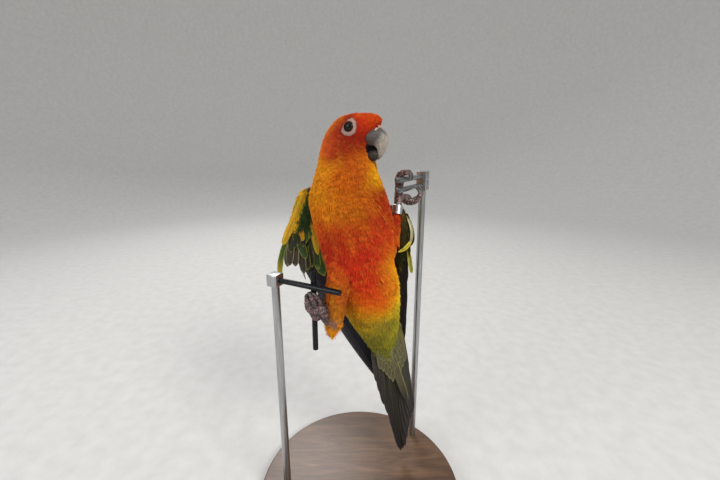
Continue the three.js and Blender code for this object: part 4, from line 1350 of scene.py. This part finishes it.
def plateColours(paint, u, along):
    # upper side and underside, each with a base colour, its tip and its edges
    paint = {**paintForm, **paint}
    each = 1 + 0.09 * rng.normal()
    made = []
    for keys in (("base", "tip", "edge"), ("under", "underTip", "underEdge")):
        base, tip, edge = (paint[key] for key in keys)
        tone = np.broadcast_to(colour(base), (plateRows, len(plateAcross), 3)).copy()
        if tip:
            tone = mix(tone, colour(tip), ease(*paint["tipFrom"], along)[..., None])
        if edge:
            side = {"both": np.abs(u), "low": -u, "high": u}[paint["edgeSide"]]
            weight = ease(paint["edgeFrom"], 0.98, side) * np.ones_like(along)
            weight = np.maximum(weight, ease(0.93, 1, along) * paint["tipEdge"])
            tone = mix(tone, colour(edge), weight[..., None])
        made.append(np.clip(tone * each, 0, 1))
    return np.vstack([m.reshape(-1, 3) for m in made])


def row(place, count, first, last, plan):
    # feathers side by side, their lines going from the first to the last
    made = []
    plan = {**plateForm, **plan}
    paints = plan["paint"] if isinstance(plan["paint"], list) else [plan["paint"]]
    for i in range(count):
        k = i / (count - 1)
        line = [mix(a, b, k) for a, b in zip(first, last)]
        stray = rng.normal(size=3)
        line[2] += stray[0] * plan["ragged"]
        line[3] += stray[1] * 0.25
        line[4] *= 1 + 0.03 * stray[2]
        paint = paints[min(int(k * len(paints)), len(paints) - 1)]
        made.append(plate(place, line, {**plan, "paint": paint}))
    return made


def platePiece(name, plates, material, replaces=()):
    # on the bake's map each large feather has a strip of its own
    shape = together([p[0] for p in plates])
    columns = math.ceil(math.sqrt(len(plates) * 4))
    rows = math.ceil(len(plates) / columns)
    strips = []
    for i, p in enumerate(plates):
        cell = np.array([i % columns, i // columns])
        own = p[1].copy()
        own[len(own) // 2:, 0] += 1.1
        own[:, 0] /= 2.1
        strips.append((cell + 0.04 + own * 0.92) / [columns, rows])
    maps = {"OFBake": np.vstack(strips), "barbs": np.vstack([p[1] for p in plates])}
    carry(meshPiece(name, shape, material, 50, np.vstack([p[2] for p in plates]), maps), replaces)
    print(name, len(plates), "feathers")


def quillFinish(name):
    finish = Finish(name, roughness=0.5, Sheen_Weight=0.05, Sheen_Roughness=0.4, Specular_IOR_Level=0.25)
    paint = finish.plume()
    where, fromShaft, ridges = barbs(finish, -0.35, 420)
    split = finish.noise(finish.stretch(where, (3, 40, 1)))
    fuzz = finish.grain(700)
    tint = finish.scaled(fuzz, 0.5, finish.scaled(ridges, 0.07, finish.scaled(split, 0.45, 0.3)))
    vane = finish.shaded(paint, tint, [(0, 0), (1, 1)])
    stem = finish.blend(0.6, paint, (0.06, 0.045, 0.03))
    finish.link(finish.blend(finish.math("LESS_THAN", fromShaft, 0.028), vane, stem), "Base Color")
    finish.bump(finish.scaled(ridges, 0.5, fuzz), 0.4)
    return finish.material


quills = quillFinish("quills")
navy = {"base": "201e28", "tip": "14141c", "edge": "26342c", "edgeSide": "low", "under": "1c2a48",
        "underTip": "12182a", "tipEdge": 0}
blueFlight = {**navy, "base": "1c2a48", "tip": "12182a", "edge": "25402f", "edgeSide": "high", "under": "2a2422",
              "underTip": "1a1817"}
darkFlight = {"base": "22301f", "tip": "1a2018", "edge": "4a5a24", "edgeFrom": 0.84, "under": "3a342a",
              "underEdge": "6c643c"}
shadeCover = {"base": "463c2c", "tip": "3e3628", "edge": "b0a688", "edgeFrom": 0.9, "under": "5a5244",
              "underEdge": "b8ae8c"}
blackCover = {"base": "2a2c1c", "tip": "20281a", "edge": "9c9440", "edgeFrom": 0.86, "under": "4a4434",
              "underEdge": "8c8450"}
greenCover = {"base": "2c4a20", "tip": "385a22", "edge": "b0ac3c", "edgeFrom": 0.78, "under": "4c4c30",
              "underEdge": "a8a05a"}
mossCover = {"base": "66781e", "tip": "4c6a20", "edge": "b8b23a", "edgeFrom": 0.74, "under": "5a5a34",
             "underEdge": "a8a05a"}
yellowCover = {"base": "e4a414", "tip": "ecb81c", "edge": "d2b42c", "under": "c09a30"}
limeCover = {"base": "b8a020", "tip": "7c9424", "edge": "c8b83a", "under": "8c8c3a"}
emberCover = {"base": "e8921a", "tip": "ecb01c", "edge": "c8b030", "under": "c09a30"}
leafCover = {"base": "4c6418", "tip": "cdb41e", "tipFrom": (0.4, 0.85), "edge": "b4b030", "under": "8c8c3a"}
oliveTail = {"base": "4a5028", "tip": "2b3a50", "tipFrom": (0.55, 0.92), "edge": "6f7a2c", "edgeFrom": 0.72,
             "under": "3e3832", "underTip": "2e2b2c", "underEdge": "4c4836", "tipEdge": 0}
oliveCover = {"base": "6c7c26", "tip": "7c862a", "edge": "9a9c38", "under": "7c7634", "underTip": "686348",
              "tipFrom": (0.35, 0.9), "underEdge": "94905c"}


# the rim feathers' undersides and edges are made pale, some near white: their own pale yellow, brightened further
# as painted light shining through the thin edges
def rimPaint(under, edge):
    return {"base": "8c9424", "under": under, "underEdge": edge, "edge": "b8b23a", "edgeFrom": 0.3}


wings = {  # rows: count, first and last line, plan; singles: line, plan
    "right": {
        "rows": [
            (10, (12, 3, 149, 8, 9), (14, 20, 92, 22, 10),
             {"tilt": 0.44, "outline": "pointed", "bow": -2.5, "paint": navy, "narrow": 0.18}),
            (9, (10, 22, 88, 25, 10), (-8, 36, 66, 38, 9), {"tilt": 0.36, "paint": darkFlight}),
            (9, (-2, 7, 21, -8, 7), (-14, 30, 37, 24, 8),
             {"height": 1.9, "lift": 0.5, "tilt": 0.26, "outline": "cover", "curl": 0.6, "ragged": 2.2,
              "paint": [shadeCover] * 3 + [blackCover] * 2 + [greenCover] * 3}),
            (8, (-6, 10, 9, 0, 6), (-22, 31, 6, 25, 7),
             {"height": 3.3, "lift": 0.9, "tilt": 0.2, "outline": "cover", "curl": 0.5,
              "paint": [blackCover, greenCover]}),
            (9, (-25, 30, -11, 15, 5), (-13, 16, 3, -2, 5),
             {"height": 4.6, "lift": 0.6, "tilt": 0.16, "outline": "cover", "paint": yellowCover}),
            (9, (0, 6, 27, 0, 8), (-14, 32, 36, 33, 8.5),
             {"height": -2.6, "lift": -0.5, "tilt": 0.26, "outline": "cover", "paint": mossCover}),
            (8, (-5, 11, 12, 3, 7.5), (-22, 32, 12, 32, 8),
             {"height": -4.4, "lift": -0.9, "tilt": 0.2, "outline": "cover", "paint": limeCover}),
        ],
        "single": {"outline": "cover", "tilt": 0.1},
        "singles": [
            ((-6, 18, 39, 13, 9), {"height": 2.9, "paint": greenCover}),
            ((-8, 12, 20, 7.5, 6.5), {"height": 3.9, "paint": greenCover}),
            ((-14, 28, 21, 17, 5), {"height": 4.6, "paint": yellowCover}),
            ((-12, 26, 8, 20.5, 4), {"height": 4.6, "paint": yellowCover}),
            ((-9, 15, 6.5, 12.5, 4.5), {"height": 4.6, "paint": yellowCover}),
            ((-11, 17.5, 3, 14, 4), {"height": 4.6, "paint": emberCover}),
            ((14, 1.5, 36, -2.5, 1.3), {"height": 1.2, "paint": {"base": "b8b090", "under": "a8a080"}}),
            ((-2, 3, 31, -26, 5), {"bow": -2, "height": 1, "paint": leafCover}),
            ((-2, 5, 20.5, -12, 7), {"height": -0.4, "paint": shadeCover}),
        ],
    },
    "left": {
        "rows": [
            (10, (36, 3, 142, 10, 9), (42, 18, 98, 23, 10),
             {"tilt": -0.44, "outline": "pointed", "paint": blueFlight, "narrow": -0.18}),
            (9, (41, 20.5, 92, 26, 10), (34, 36, 76, 40, 9), {"tilt": -0.36, "paint": darkFlight}),
            (9, (18, 5, 58, 4, 8.5), (22, 31, 56, 35, 9),
             {"height": 1.9, "lift": 0.6, "tilt": -0.26, "outline": "cover",
              "paint": {**greenCover, "under": "2a261a", "underEdge": "a8a03c"}}),
            (9, (6, 4, 35, 2, 8), (10, 28, 36, 31, 9),
             {"height": 3.4, "lift": 0.9, "tilt": -0.24, "outline": "cover",
              "paint": {**limeCover, "under": "2e2e1a", "underEdge": "a8a03c"}}),
            (8, (-2, 4, 17, 1, 8), (0, 23, 20, 26, 8.5),
             {"height": 4.7, "lift": 1, "tilt": -0.22, "outline": "cover",
              "paint": {**yellowCover, "under": "50501e", "underEdge": "b0a83c"}}),
        ],
        "single": {"outline": "round", "height": 4.9, "thick": 0.5, "tilt": -0.9},
        "singles": [
            # the pale and near-white undersides given here are in part painted light shining through the feathers'
            # edges
            ((-1, 4, 21, -1.2, 1.5), {"bow": -3.9, "paint": rimPaint("e4e0a0", "fffcd4")}),
            ((2, 5, 20, 1.4, 1.1), {"bow": -2.6, "paint": rimPaint("8c8850", "c4c088")}),
            ((-1, 5, 24, 0.4, 4.6), {"bow": -2.6, "lift": 0.6, "paint": rimPaint("1e2414", "2c3018")}),
            ((19, -1.4, 28, 4, 2.3), {"bow": -1.6, "lift": -8, "paint": rimPaint("e8d83c", "f0e468")}),
            ((28, 1.2, 46, -2.2, 2.3), {"paint": rimPaint("b0b844", "d0d060")}),
            ((24, 2.2, 39, 0, 1.2), {"bow": -0.6, "paint": rimPaint("8c8c34", "ccc048")}),
        ],
    },
}


def makeWing(side):
    form, place = wings[side], sheets[side]
    plates = []
    for count, first, last, plan in form["rows"]:
        plates += row(place, count, first, last, plan)
    for line, plan in form["singles"]:
        plates.append(plate(place, line, {**form["single"], **plan}))
    platePiece("wing" + side.title(), plates, quills, ["wing_" + side])


tailForm = {
    "tips": [124, 114, 103, 93, 84],  # of the pairs from the middle out
    "spread": {-1: 2.6, 1: 1.1},  # of their tips, to either side
    "wide": [7, 7, 7, 7, 8.5],
    "middle": 130,
    "edge": [(4, 10.5, 68, 12, 6), (2, 12, 54, 14, 5), (0, 13, 43, 15, 6)],  # lines
    "coverReach": {1: 36, -1: 44},  # above and below
    "coverRows": 3,
    "twisted": (8, 2, 68, -9.5, 7.5),
}


def makeTail():
    place, vane = sheets["tail"], {"outline": "tail", "paint": oliveTail}
    plates = []
    for rank, (tip, wide) in enumerate(zip(tailForm["tips"], tailForm["wide"])):
        for side, spread in tailForm["spread"].items():
            line = (6, side * (3.2 + rank * 1.8), tip + rng.normal() * 0.7, side * (3.2 + rank * spread), wide)
            plates.append(plate(place, line, {**vane, "tilt": side * 0.46, "bow": side * rank * -0.35}))
    for side in (-1, 1):
        line = (6, side * 1.2, tailForm["middle"] + side * 1.5, side, 8.5)
        plates.append(plate(place, line, {**vane, "height": 2.2 + side * 0.5}))
    for line in tailForm["edge"]:
        plates.append(plate(place, line, {**vane, "height": -1, "tilt": 0.3}))
    for above, reach in tailForm["coverReach"].items():
        for level in range(tailForm["coverRows"]):
            for side in (-1, 1):
                first = (-6, side * 8.5, reach - 17 - level * 9, side * (11.5 - level), 6)
                last = (-6, side, reach - level * 11 + side, side * 1.4, 6.5)
                plates += row(place, 5, first, last, {
                    "height": above * (4.2 + level * 0.9) - 0.3, "lift": above * -1, "tilt": 0.2 * side,
                    "outline": "pointed", "paint": oliveCover,
                })
    plates.append(plate(place, tailForm["twisted"], {
        "height": -4.6, "lift": 1, "outline": "tail",
        "paint": {**oliveTail, "under": "625a40", "underTip": "403a34", "underEdge": "a4a454", "edgeSide": "low"},
    }))
    platePiece("tailFeathers", plates, quills, ["tail"])


makeWing("right")
makeWing("left")
makeTail()

# Wires that the feet hold
wireForm = {"radius": 2.0, "rise": 7.2}
wires = {
    "level": {"foot": (-30.6, -26.7, 203.4), "along": (-0.887, 0.4617, 0), "from": -20, "to": 40, "clamp": 35},
    "upright": {"foot": (-32.2, -22.2, 188), "along": (0, 0, 1), "from": -34, "to": 26},
    "side": {"foot": (35.7, 17.3, 266.4), "along": (0.454, 0.891, 0), "from": -20, "to": 45, "clamp": 40},
}


def onWire(wire, t, rise=0.0):
    return np.array(wire["foot"]) + np.array(wire["along"]) * t + np.array([0, 0, rise])


def enamel(name, low, high, shine):
    finish = Finish(name, roughness=0.24, Specular_IOR_Level=shine, Coat_Weight=shine, Coat_Roughness=0.08)
    specks = finish.noise(finish.place(), 900, 5, 0.6)
    finish.tint(specks, [(0.35, low), (0.75, high)])
    finish.link(finish.scaled(specks, 0.35, 0.12), "Roughness")
    finish.bump(specks, 0.12, 0.00015)
    return finish.material


def rodPiece(name, start, end, radius, corners=48, bevel=0.5, segments=4):
    start, end = np.asarray(start, float), np.asarray(end, float)
    deselect()
    bpy.ops.mesh.primitive_cylinder_add(
        vertices=corners, radius=radius * mm, depth=np.linalg.norm(end - start) * mm,
        location=(start + end) / 2 * mm)
    rod = bpy.context.object
    rod.name = name
    rod.rotation_mode = "QUATERNION"
    rod.rotation_quaternion = Vector(end - start).to_track_quat("Z", "Y")
    settle(rod)
    applied(rod, "BEVEL", width=bevel * mm, segments=segments, limit_method="ANGLE", angle_limit=math.radians(50))
    bpy.ops.object.shade_smooth_by_angle(angle=math.radians(35))
    return rod


def joined(name, pieces):
    makeActive(pieces[0])
    for piece in pieces[1:]:
        piece.select_set(True)
    bpy.ops.object.join()
    pieces[0].name = name
    return pieces[0]


def wirePiece(name, wire, rise=0.0):
    return rodPiece(name, onWire(wire, wire["from"], rise), onWire(wire, wire["to"], rise), wireForm["radius"])


def makeWires():
    dark = enamel("blackEnamel", (0.002, 0.002, 0.003), (0.009, 0.0095, 0.012), 0.15)
    # the upper wires take a lighter copy of the same black enamel: painted sky light on them, with a glossier coat
    paintedLightEnamel = enamel("paintedSkyLightEnamel", (0.02, 0.023, 0.028), (0.06, 0.066, 0.078), 0.9)
    lower = joined("perchWireLower", [wirePiece(name + "Wire", wires[name]) for name in ("level", "upright")])
    upper = wirePiece("perchWireUpper", wires["side"], wireForm["rise"])
    second = wirePiece("perchWireUpperSecond", wires["side"])
    for piece, node, finish in ((lower, "perch_wire_lower", dark), (upper, "perch_wire_upper", paintedLightEnamel),
                                (second, "perch_wire_upper_second", paintedLightEnamel)):
        piece.data.materials.append(finish)
        carry(piece, [node])


makeWires()

# Feet and claws
legs = {
    "Right": {
        "wire": {**wires["upright"], "out": (-0.4617, -0.887, 0), "over": (-0.887, 0.4617, 0)},
        "tarsus": [(-19.6, -21.5, 170.5), (-23.4, -23.6, 179), (-26.4, -25.6, 187)],
        "radii": [3, 4.0, 4.8],
        "toes": [  # degrees round the wire, distance from its middle, place along it
            {"path": [(-48, 6, -4), (-10, 5.4, 1.6), (28, 5, 5.4), (64, 4.6, 7.6)],
             "claw": [(98, 4.3, 8.6), (128, 3.9, 9), (158, 3.4, 9.2)]},
            {"path": [(-52, 6, -6), (-14, 5.4, -2), (24, 5.2, 1), (62, 4.9, 2.6)],
             "claw": [(100, 4.4, 3), (130, 3.9, 3.2), (158, 3.3, 3.2)]},
            {"path": [(-75, 6.4, -3), (-82, 6, 2), (-74, 5.6, 6), (-60, 5.1, 8.8)],
             "claw": [(-44, 4.6, 10.2), (-28, 4.1, 10.9), (-10, 3.6, 11.2)]},
            {"path": [(-60, 6.2, -3), (-42, 5.8, 2), (-30, 5.4, 6), (-18, 4.9, 8.6)],
             "claw": [(0, 4.6, 10.2), (24, 4.3, 10.9), (50, 3.8, 10.6)]},
        ],
    },
    "Left": {
        "wire": {**wires["side"], "out": (0.891, -0.454, 0), "over": (0, 0, 1)},
        "tarsus": [(27.2, 10.5, 242), (28.4, 13.4, 251), (29.5, 17, 260)],
        "radii": [2.8, 2.7, 3.4],
        "toes": [
            {"rise": wireForm["rise"], "path": [(202, 5.6, -5), (157, 5.3, -5), (113, 5.5, -5), (68, 5.3, -5)],
             "claw": [(36, 4.9, -5), (8, 4, -5), (-24, 3.2, -5)]},
            {"rise": wireForm["rise"], "path": [(204, 5.6, 0), (160, 5.3, 0), (117, 5.6, 0), (72, 5.3, 0)],
             "claw": [(40, 4.9, 0), (12, 4.1, 0), (-18, 3.3, 0)]},
            {"path": [(235, 10.5, 8), (262, 11.8, 8.5), (295, 11, 9), (325, 9.4, 9)],
             "claw": [(344, 6.8, 9), (354, 5, 9), (6, 3.5, 9)]},
            {"path": [(238, 9.5, 13), (265, 10.4, 14), (297, 9.6, 14.5), (328, 8.2, 15)],
             "claw": [(348, 5.9, 15), (2, 4.6, 15), (18, 3.5, 15)]},
        ],
    },
}


def besideWire(wire, t, rise, angle, out):
    angle = math.radians(angle)
    sideways = np.array(wire["out"]) * math.cos(angle) + np.array(wire["over"]) * math.sin(angle)
    return onWire(wire, t, rise) + sideways * out


def scutes(count, depth=0.07, knuckle=0.0):
    # rounded plates across a toe, with pads beneath them
    def swell(share, angle):
        ring = abs(math.sin(share * math.pi * count)) ** 0.6
        joint = knuckle * math.cos(share * math.pi * 6)
        return 1 - depth + joint + depth * 2 * ring * (0.75 + 0.25 * np.cos(angle * 2))
    return swell


def aroundWire(leg, toe, places):
    return [besideWire(leg["wire"], along, toe.get("rise", 0), angle, out) for angle, out, along in places]


def toeShape(leg, toe):
    points = [np.array(leg["tarsus"][-1], float)] + aroundWire(leg, toe, toe["path"])
    radii = [mix(2.9, 1.9, k / 4) for k in range(5)]
    return tube(points, radii, 24, 14, scutes(11, 0.1, 0.08), 0.8)


def clawShape(leg, toe):
    last, first = np.array(toe["path"][-1], float), np.array(toe["claw"][0], float)
    points = aroundWire(leg, toe, [mix(last, first, 0.15), mix(last, first, 0.8), *toe["claw"][1:]])
    return tube(points, [1.2, 1.1, 0.8, 0.15], 16, 8, None, 0.8)


footTones = {  # creases, scales and a painted highlight on the scales; the creases are darkest, partly their own dark lines and partly painted shade, and the left foot's tones are lighter than the right's as painted sky light
    "Right": ((0.010, 0.005, 0.005), (0.05, 0.024, 0.023), (0.30, 0.17, 0.16)),
    "Left": ((0.025, 0.012, 0.010), (0.10, 0.050, 0.044), (0.46, 0.31, 0.28)),
}


def footFinish(side):
    finish = Finish("scalyFoot" + side, roughness=0.38, Coat_Weight=0.2, Coat_Roughness=0.25)
    where = finish.place()
    inputs = {"Vector": where, "Scale": 700.0}
    cells = finish.node("TexVoronoi", inputs, feature="DISTANCE_TO_EDGE").outputs["Distance"]
    dust = finish.noise(where, 360, 4, 0.55)
    # the ramp paints shade in the creases and a highlight on the scales, lighter on the sky-lit left foot
    finish.tint(finish.scaled(cells, 0.9, finish.scaled(dust, 1.0, -0.1)), zip((0.26, 0.5, 0.8), footTones[side]))
    finish.bump(finish.math("MINIMUM", cells, 0.3), 0.9, 0.0006)
    return finish.material


def clawFinish():
    finish = Finish("greyClaw", roughness=0.42, Specular_IOR_Level=0.5)
    streaks = finish.grain((700, 700, 300))
    finish.tint(streaks, [(0.3, (0.05, 0.043, 0.04)), (0.7, (0.17, 0.15, 0.145))])
    finish.bump(streaks, 0.15, 0.0001)
    return finish.material


def makeFeet():
    horn = clawFinish()
    for side, leg in legs.items():
        tarsus = tube(leg["tarsus"], leg["radii"], 28, 16, scutes(7, 0.05))
        shape = together([tarsus] + [toeShape(leg, toe) for toe in leg["toes"]])
        foot = meshPiece("foot" + side, shape, footFinish(side), 70)
        carry(foot, ["foot_" + side.lower()])
        for i, toe in enumerate(leg["toes"]):
            claw = meshPiece(f"claw{side}{i + 1}", clawShape(leg, toe), horn, 70)
            carry(claw, [f"claw_{side.lower()}_{i + 1}"])


makeFeet()

# Leg band
bandForm = {"at": (28.3, 13, 250.6), "way": (1.8, 4.6, 13), "inner": 3.4, "outer": 4.2, "tall": 7, "soft": 0.22}


def makeBand():
    at, way = np.array(bandForm["at"]), unit(bandForm["way"])
    first = unit(np.cross(way, (0, 0, 1)))
    inner, outer, soft, high = bandForm["inner"], bandForm["outer"], bandForm["soft"], bandForm["tall"] / 2
    profile = [
        (inner + soft, -high), (outer - soft, -high), (outer, -high + soft), (outer, -high * 0.4),
        (outer, high * 0.4), (outer, high - soft), (outer - soft, high), (inner + soft, high),
        (inner, high - soft), (inner, -high + soft),
    ]
    angle = circle(96)
    spoke = spokes(angle, first, np.cross(way, first))
    points = np.vstack([at + spoke * r + way * h for r, h in profile])
    finish = Finish("brushedRing", roughness=0.3, metallic=1.0)
    brushed = finish.grain((300, 300, 2600), 4)
    finish.tint(brushed, [(0.3, (0.42, 0.43, 0.45)), (0.7, (0.72, 0.73, 0.75))])
    finish.link(finish.scaled(brushed, 0.35, 0.15), "Roughness")
    finish.bump(brushed, 0.2, 0.0001)
    shape = outward(points, [ringQuads(len(profile), len(angle), True)])
    carry(meshPiece("legBand", shape, finish.material, 40), ["leg_band"])


makeBand()

# Display stand
standForm = {"radius": 86, "height": 10, "edge": 1.5, "rod": 3, "clamp": (9, 9, 9), "screw": 1.6}


def steel():
    finish = Finish("satinSteel", roughness=0.32, metallic=1.0)
    drawn = finish.grain((1600, 1600, 60), 4)
    finish.tint(drawn, [(0.3, (0.33, 0.335, 0.345)), (0.7, (0.52, 0.525, 0.535))])
    finish.link(finish.scaled(drawn, 0.25, 0.2), "Roughness")
    finish.bump(drawn, 0.12, 0.0001)
    return finish.material


def walnut():
    finish = Finish("darkWood", roughness=0.42, Coat_Weight=0.2, Coat_Roughness=0.25)
    rings = finish.grain((16, 110, 110), 5, 0.55, 1.2)
    pores = finish.grain((60, 1500, 1500))
    value = finish.scaled(pores, 0.35, finish.math("MULTIPLY", rings, 0.75))
    finish.tint(value, [(0.3, (0.045, 0.022, 0.011)), (0.55, (0.11, 0.055, 0.026)), (0.75, (0.19, 0.10, 0.05))])
    finish.bump(pores, 0.2, 0.0002)
    return finish.material


def makeBase():
    high, edge = standForm["height"], standForm["edge"]
    board = rodPiece("standBase", (0, 0, 0), (0, 0, high), standForm["radius"], 160, edge, 6)
    board.data.materials.append(walnut())
    carry(board, ["stand_base"])


def makeHolder(which, wire, rise, tall, metal):
    long, wide, _ = standForm["clamp"]
    middle = onWire(wire, wire["clamp"], rise)
    yaw = math.atan2(wire["along"][1], wire["along"][0])
    deselect()
    bpy.ops.mesh.primitive_cube_add(size=1, location=middle * mm, rotation=(0, 0, yaw))
    block = bpy.context.object
    block.scale = (long * mm, wide * mm, tall * mm)
    settle(block)
    applied(block, "BEVEL", width=0.8 * mm, segments=4)
    out = np.array([math.sin(yaw), -math.cos(yaw), 0])
    face = middle + out * wide / 2
    screw = rodPiece("screw", face - out, face + out * 0.7, standForm["screw"], 32, 0.25)
    block = joined("standClamp" + which, [block, screw])
    bpy.ops.object.shade_smooth_by_angle(angle=math.radians(35))
    block.data.materials.append(metal)
    carry(block, ["stand_clamp_" + which.lower()])
    foot = onWire(wire, wire["clamp"], rise - tall / 2)
    rod = rodPiece("standRod" + which, (foot[0], foot[1], standForm["height"]), foot, standForm["rod"], 64, 0.3)
    rod.data.materials.append(metal)
    carry(rod, ["stand_rod_" + which.lower()])


def makeStand():
    metal = steel()
    makeBase()
    makeHolder("Low", wires["level"], 0, standForm["clamp"][2], metal)
    makeHolder("High", wires["side"], wireForm["rise"] / 2, standForm["clamp"][2] + wireForm["rise"], metal)


makeStand()
print("stand ready")
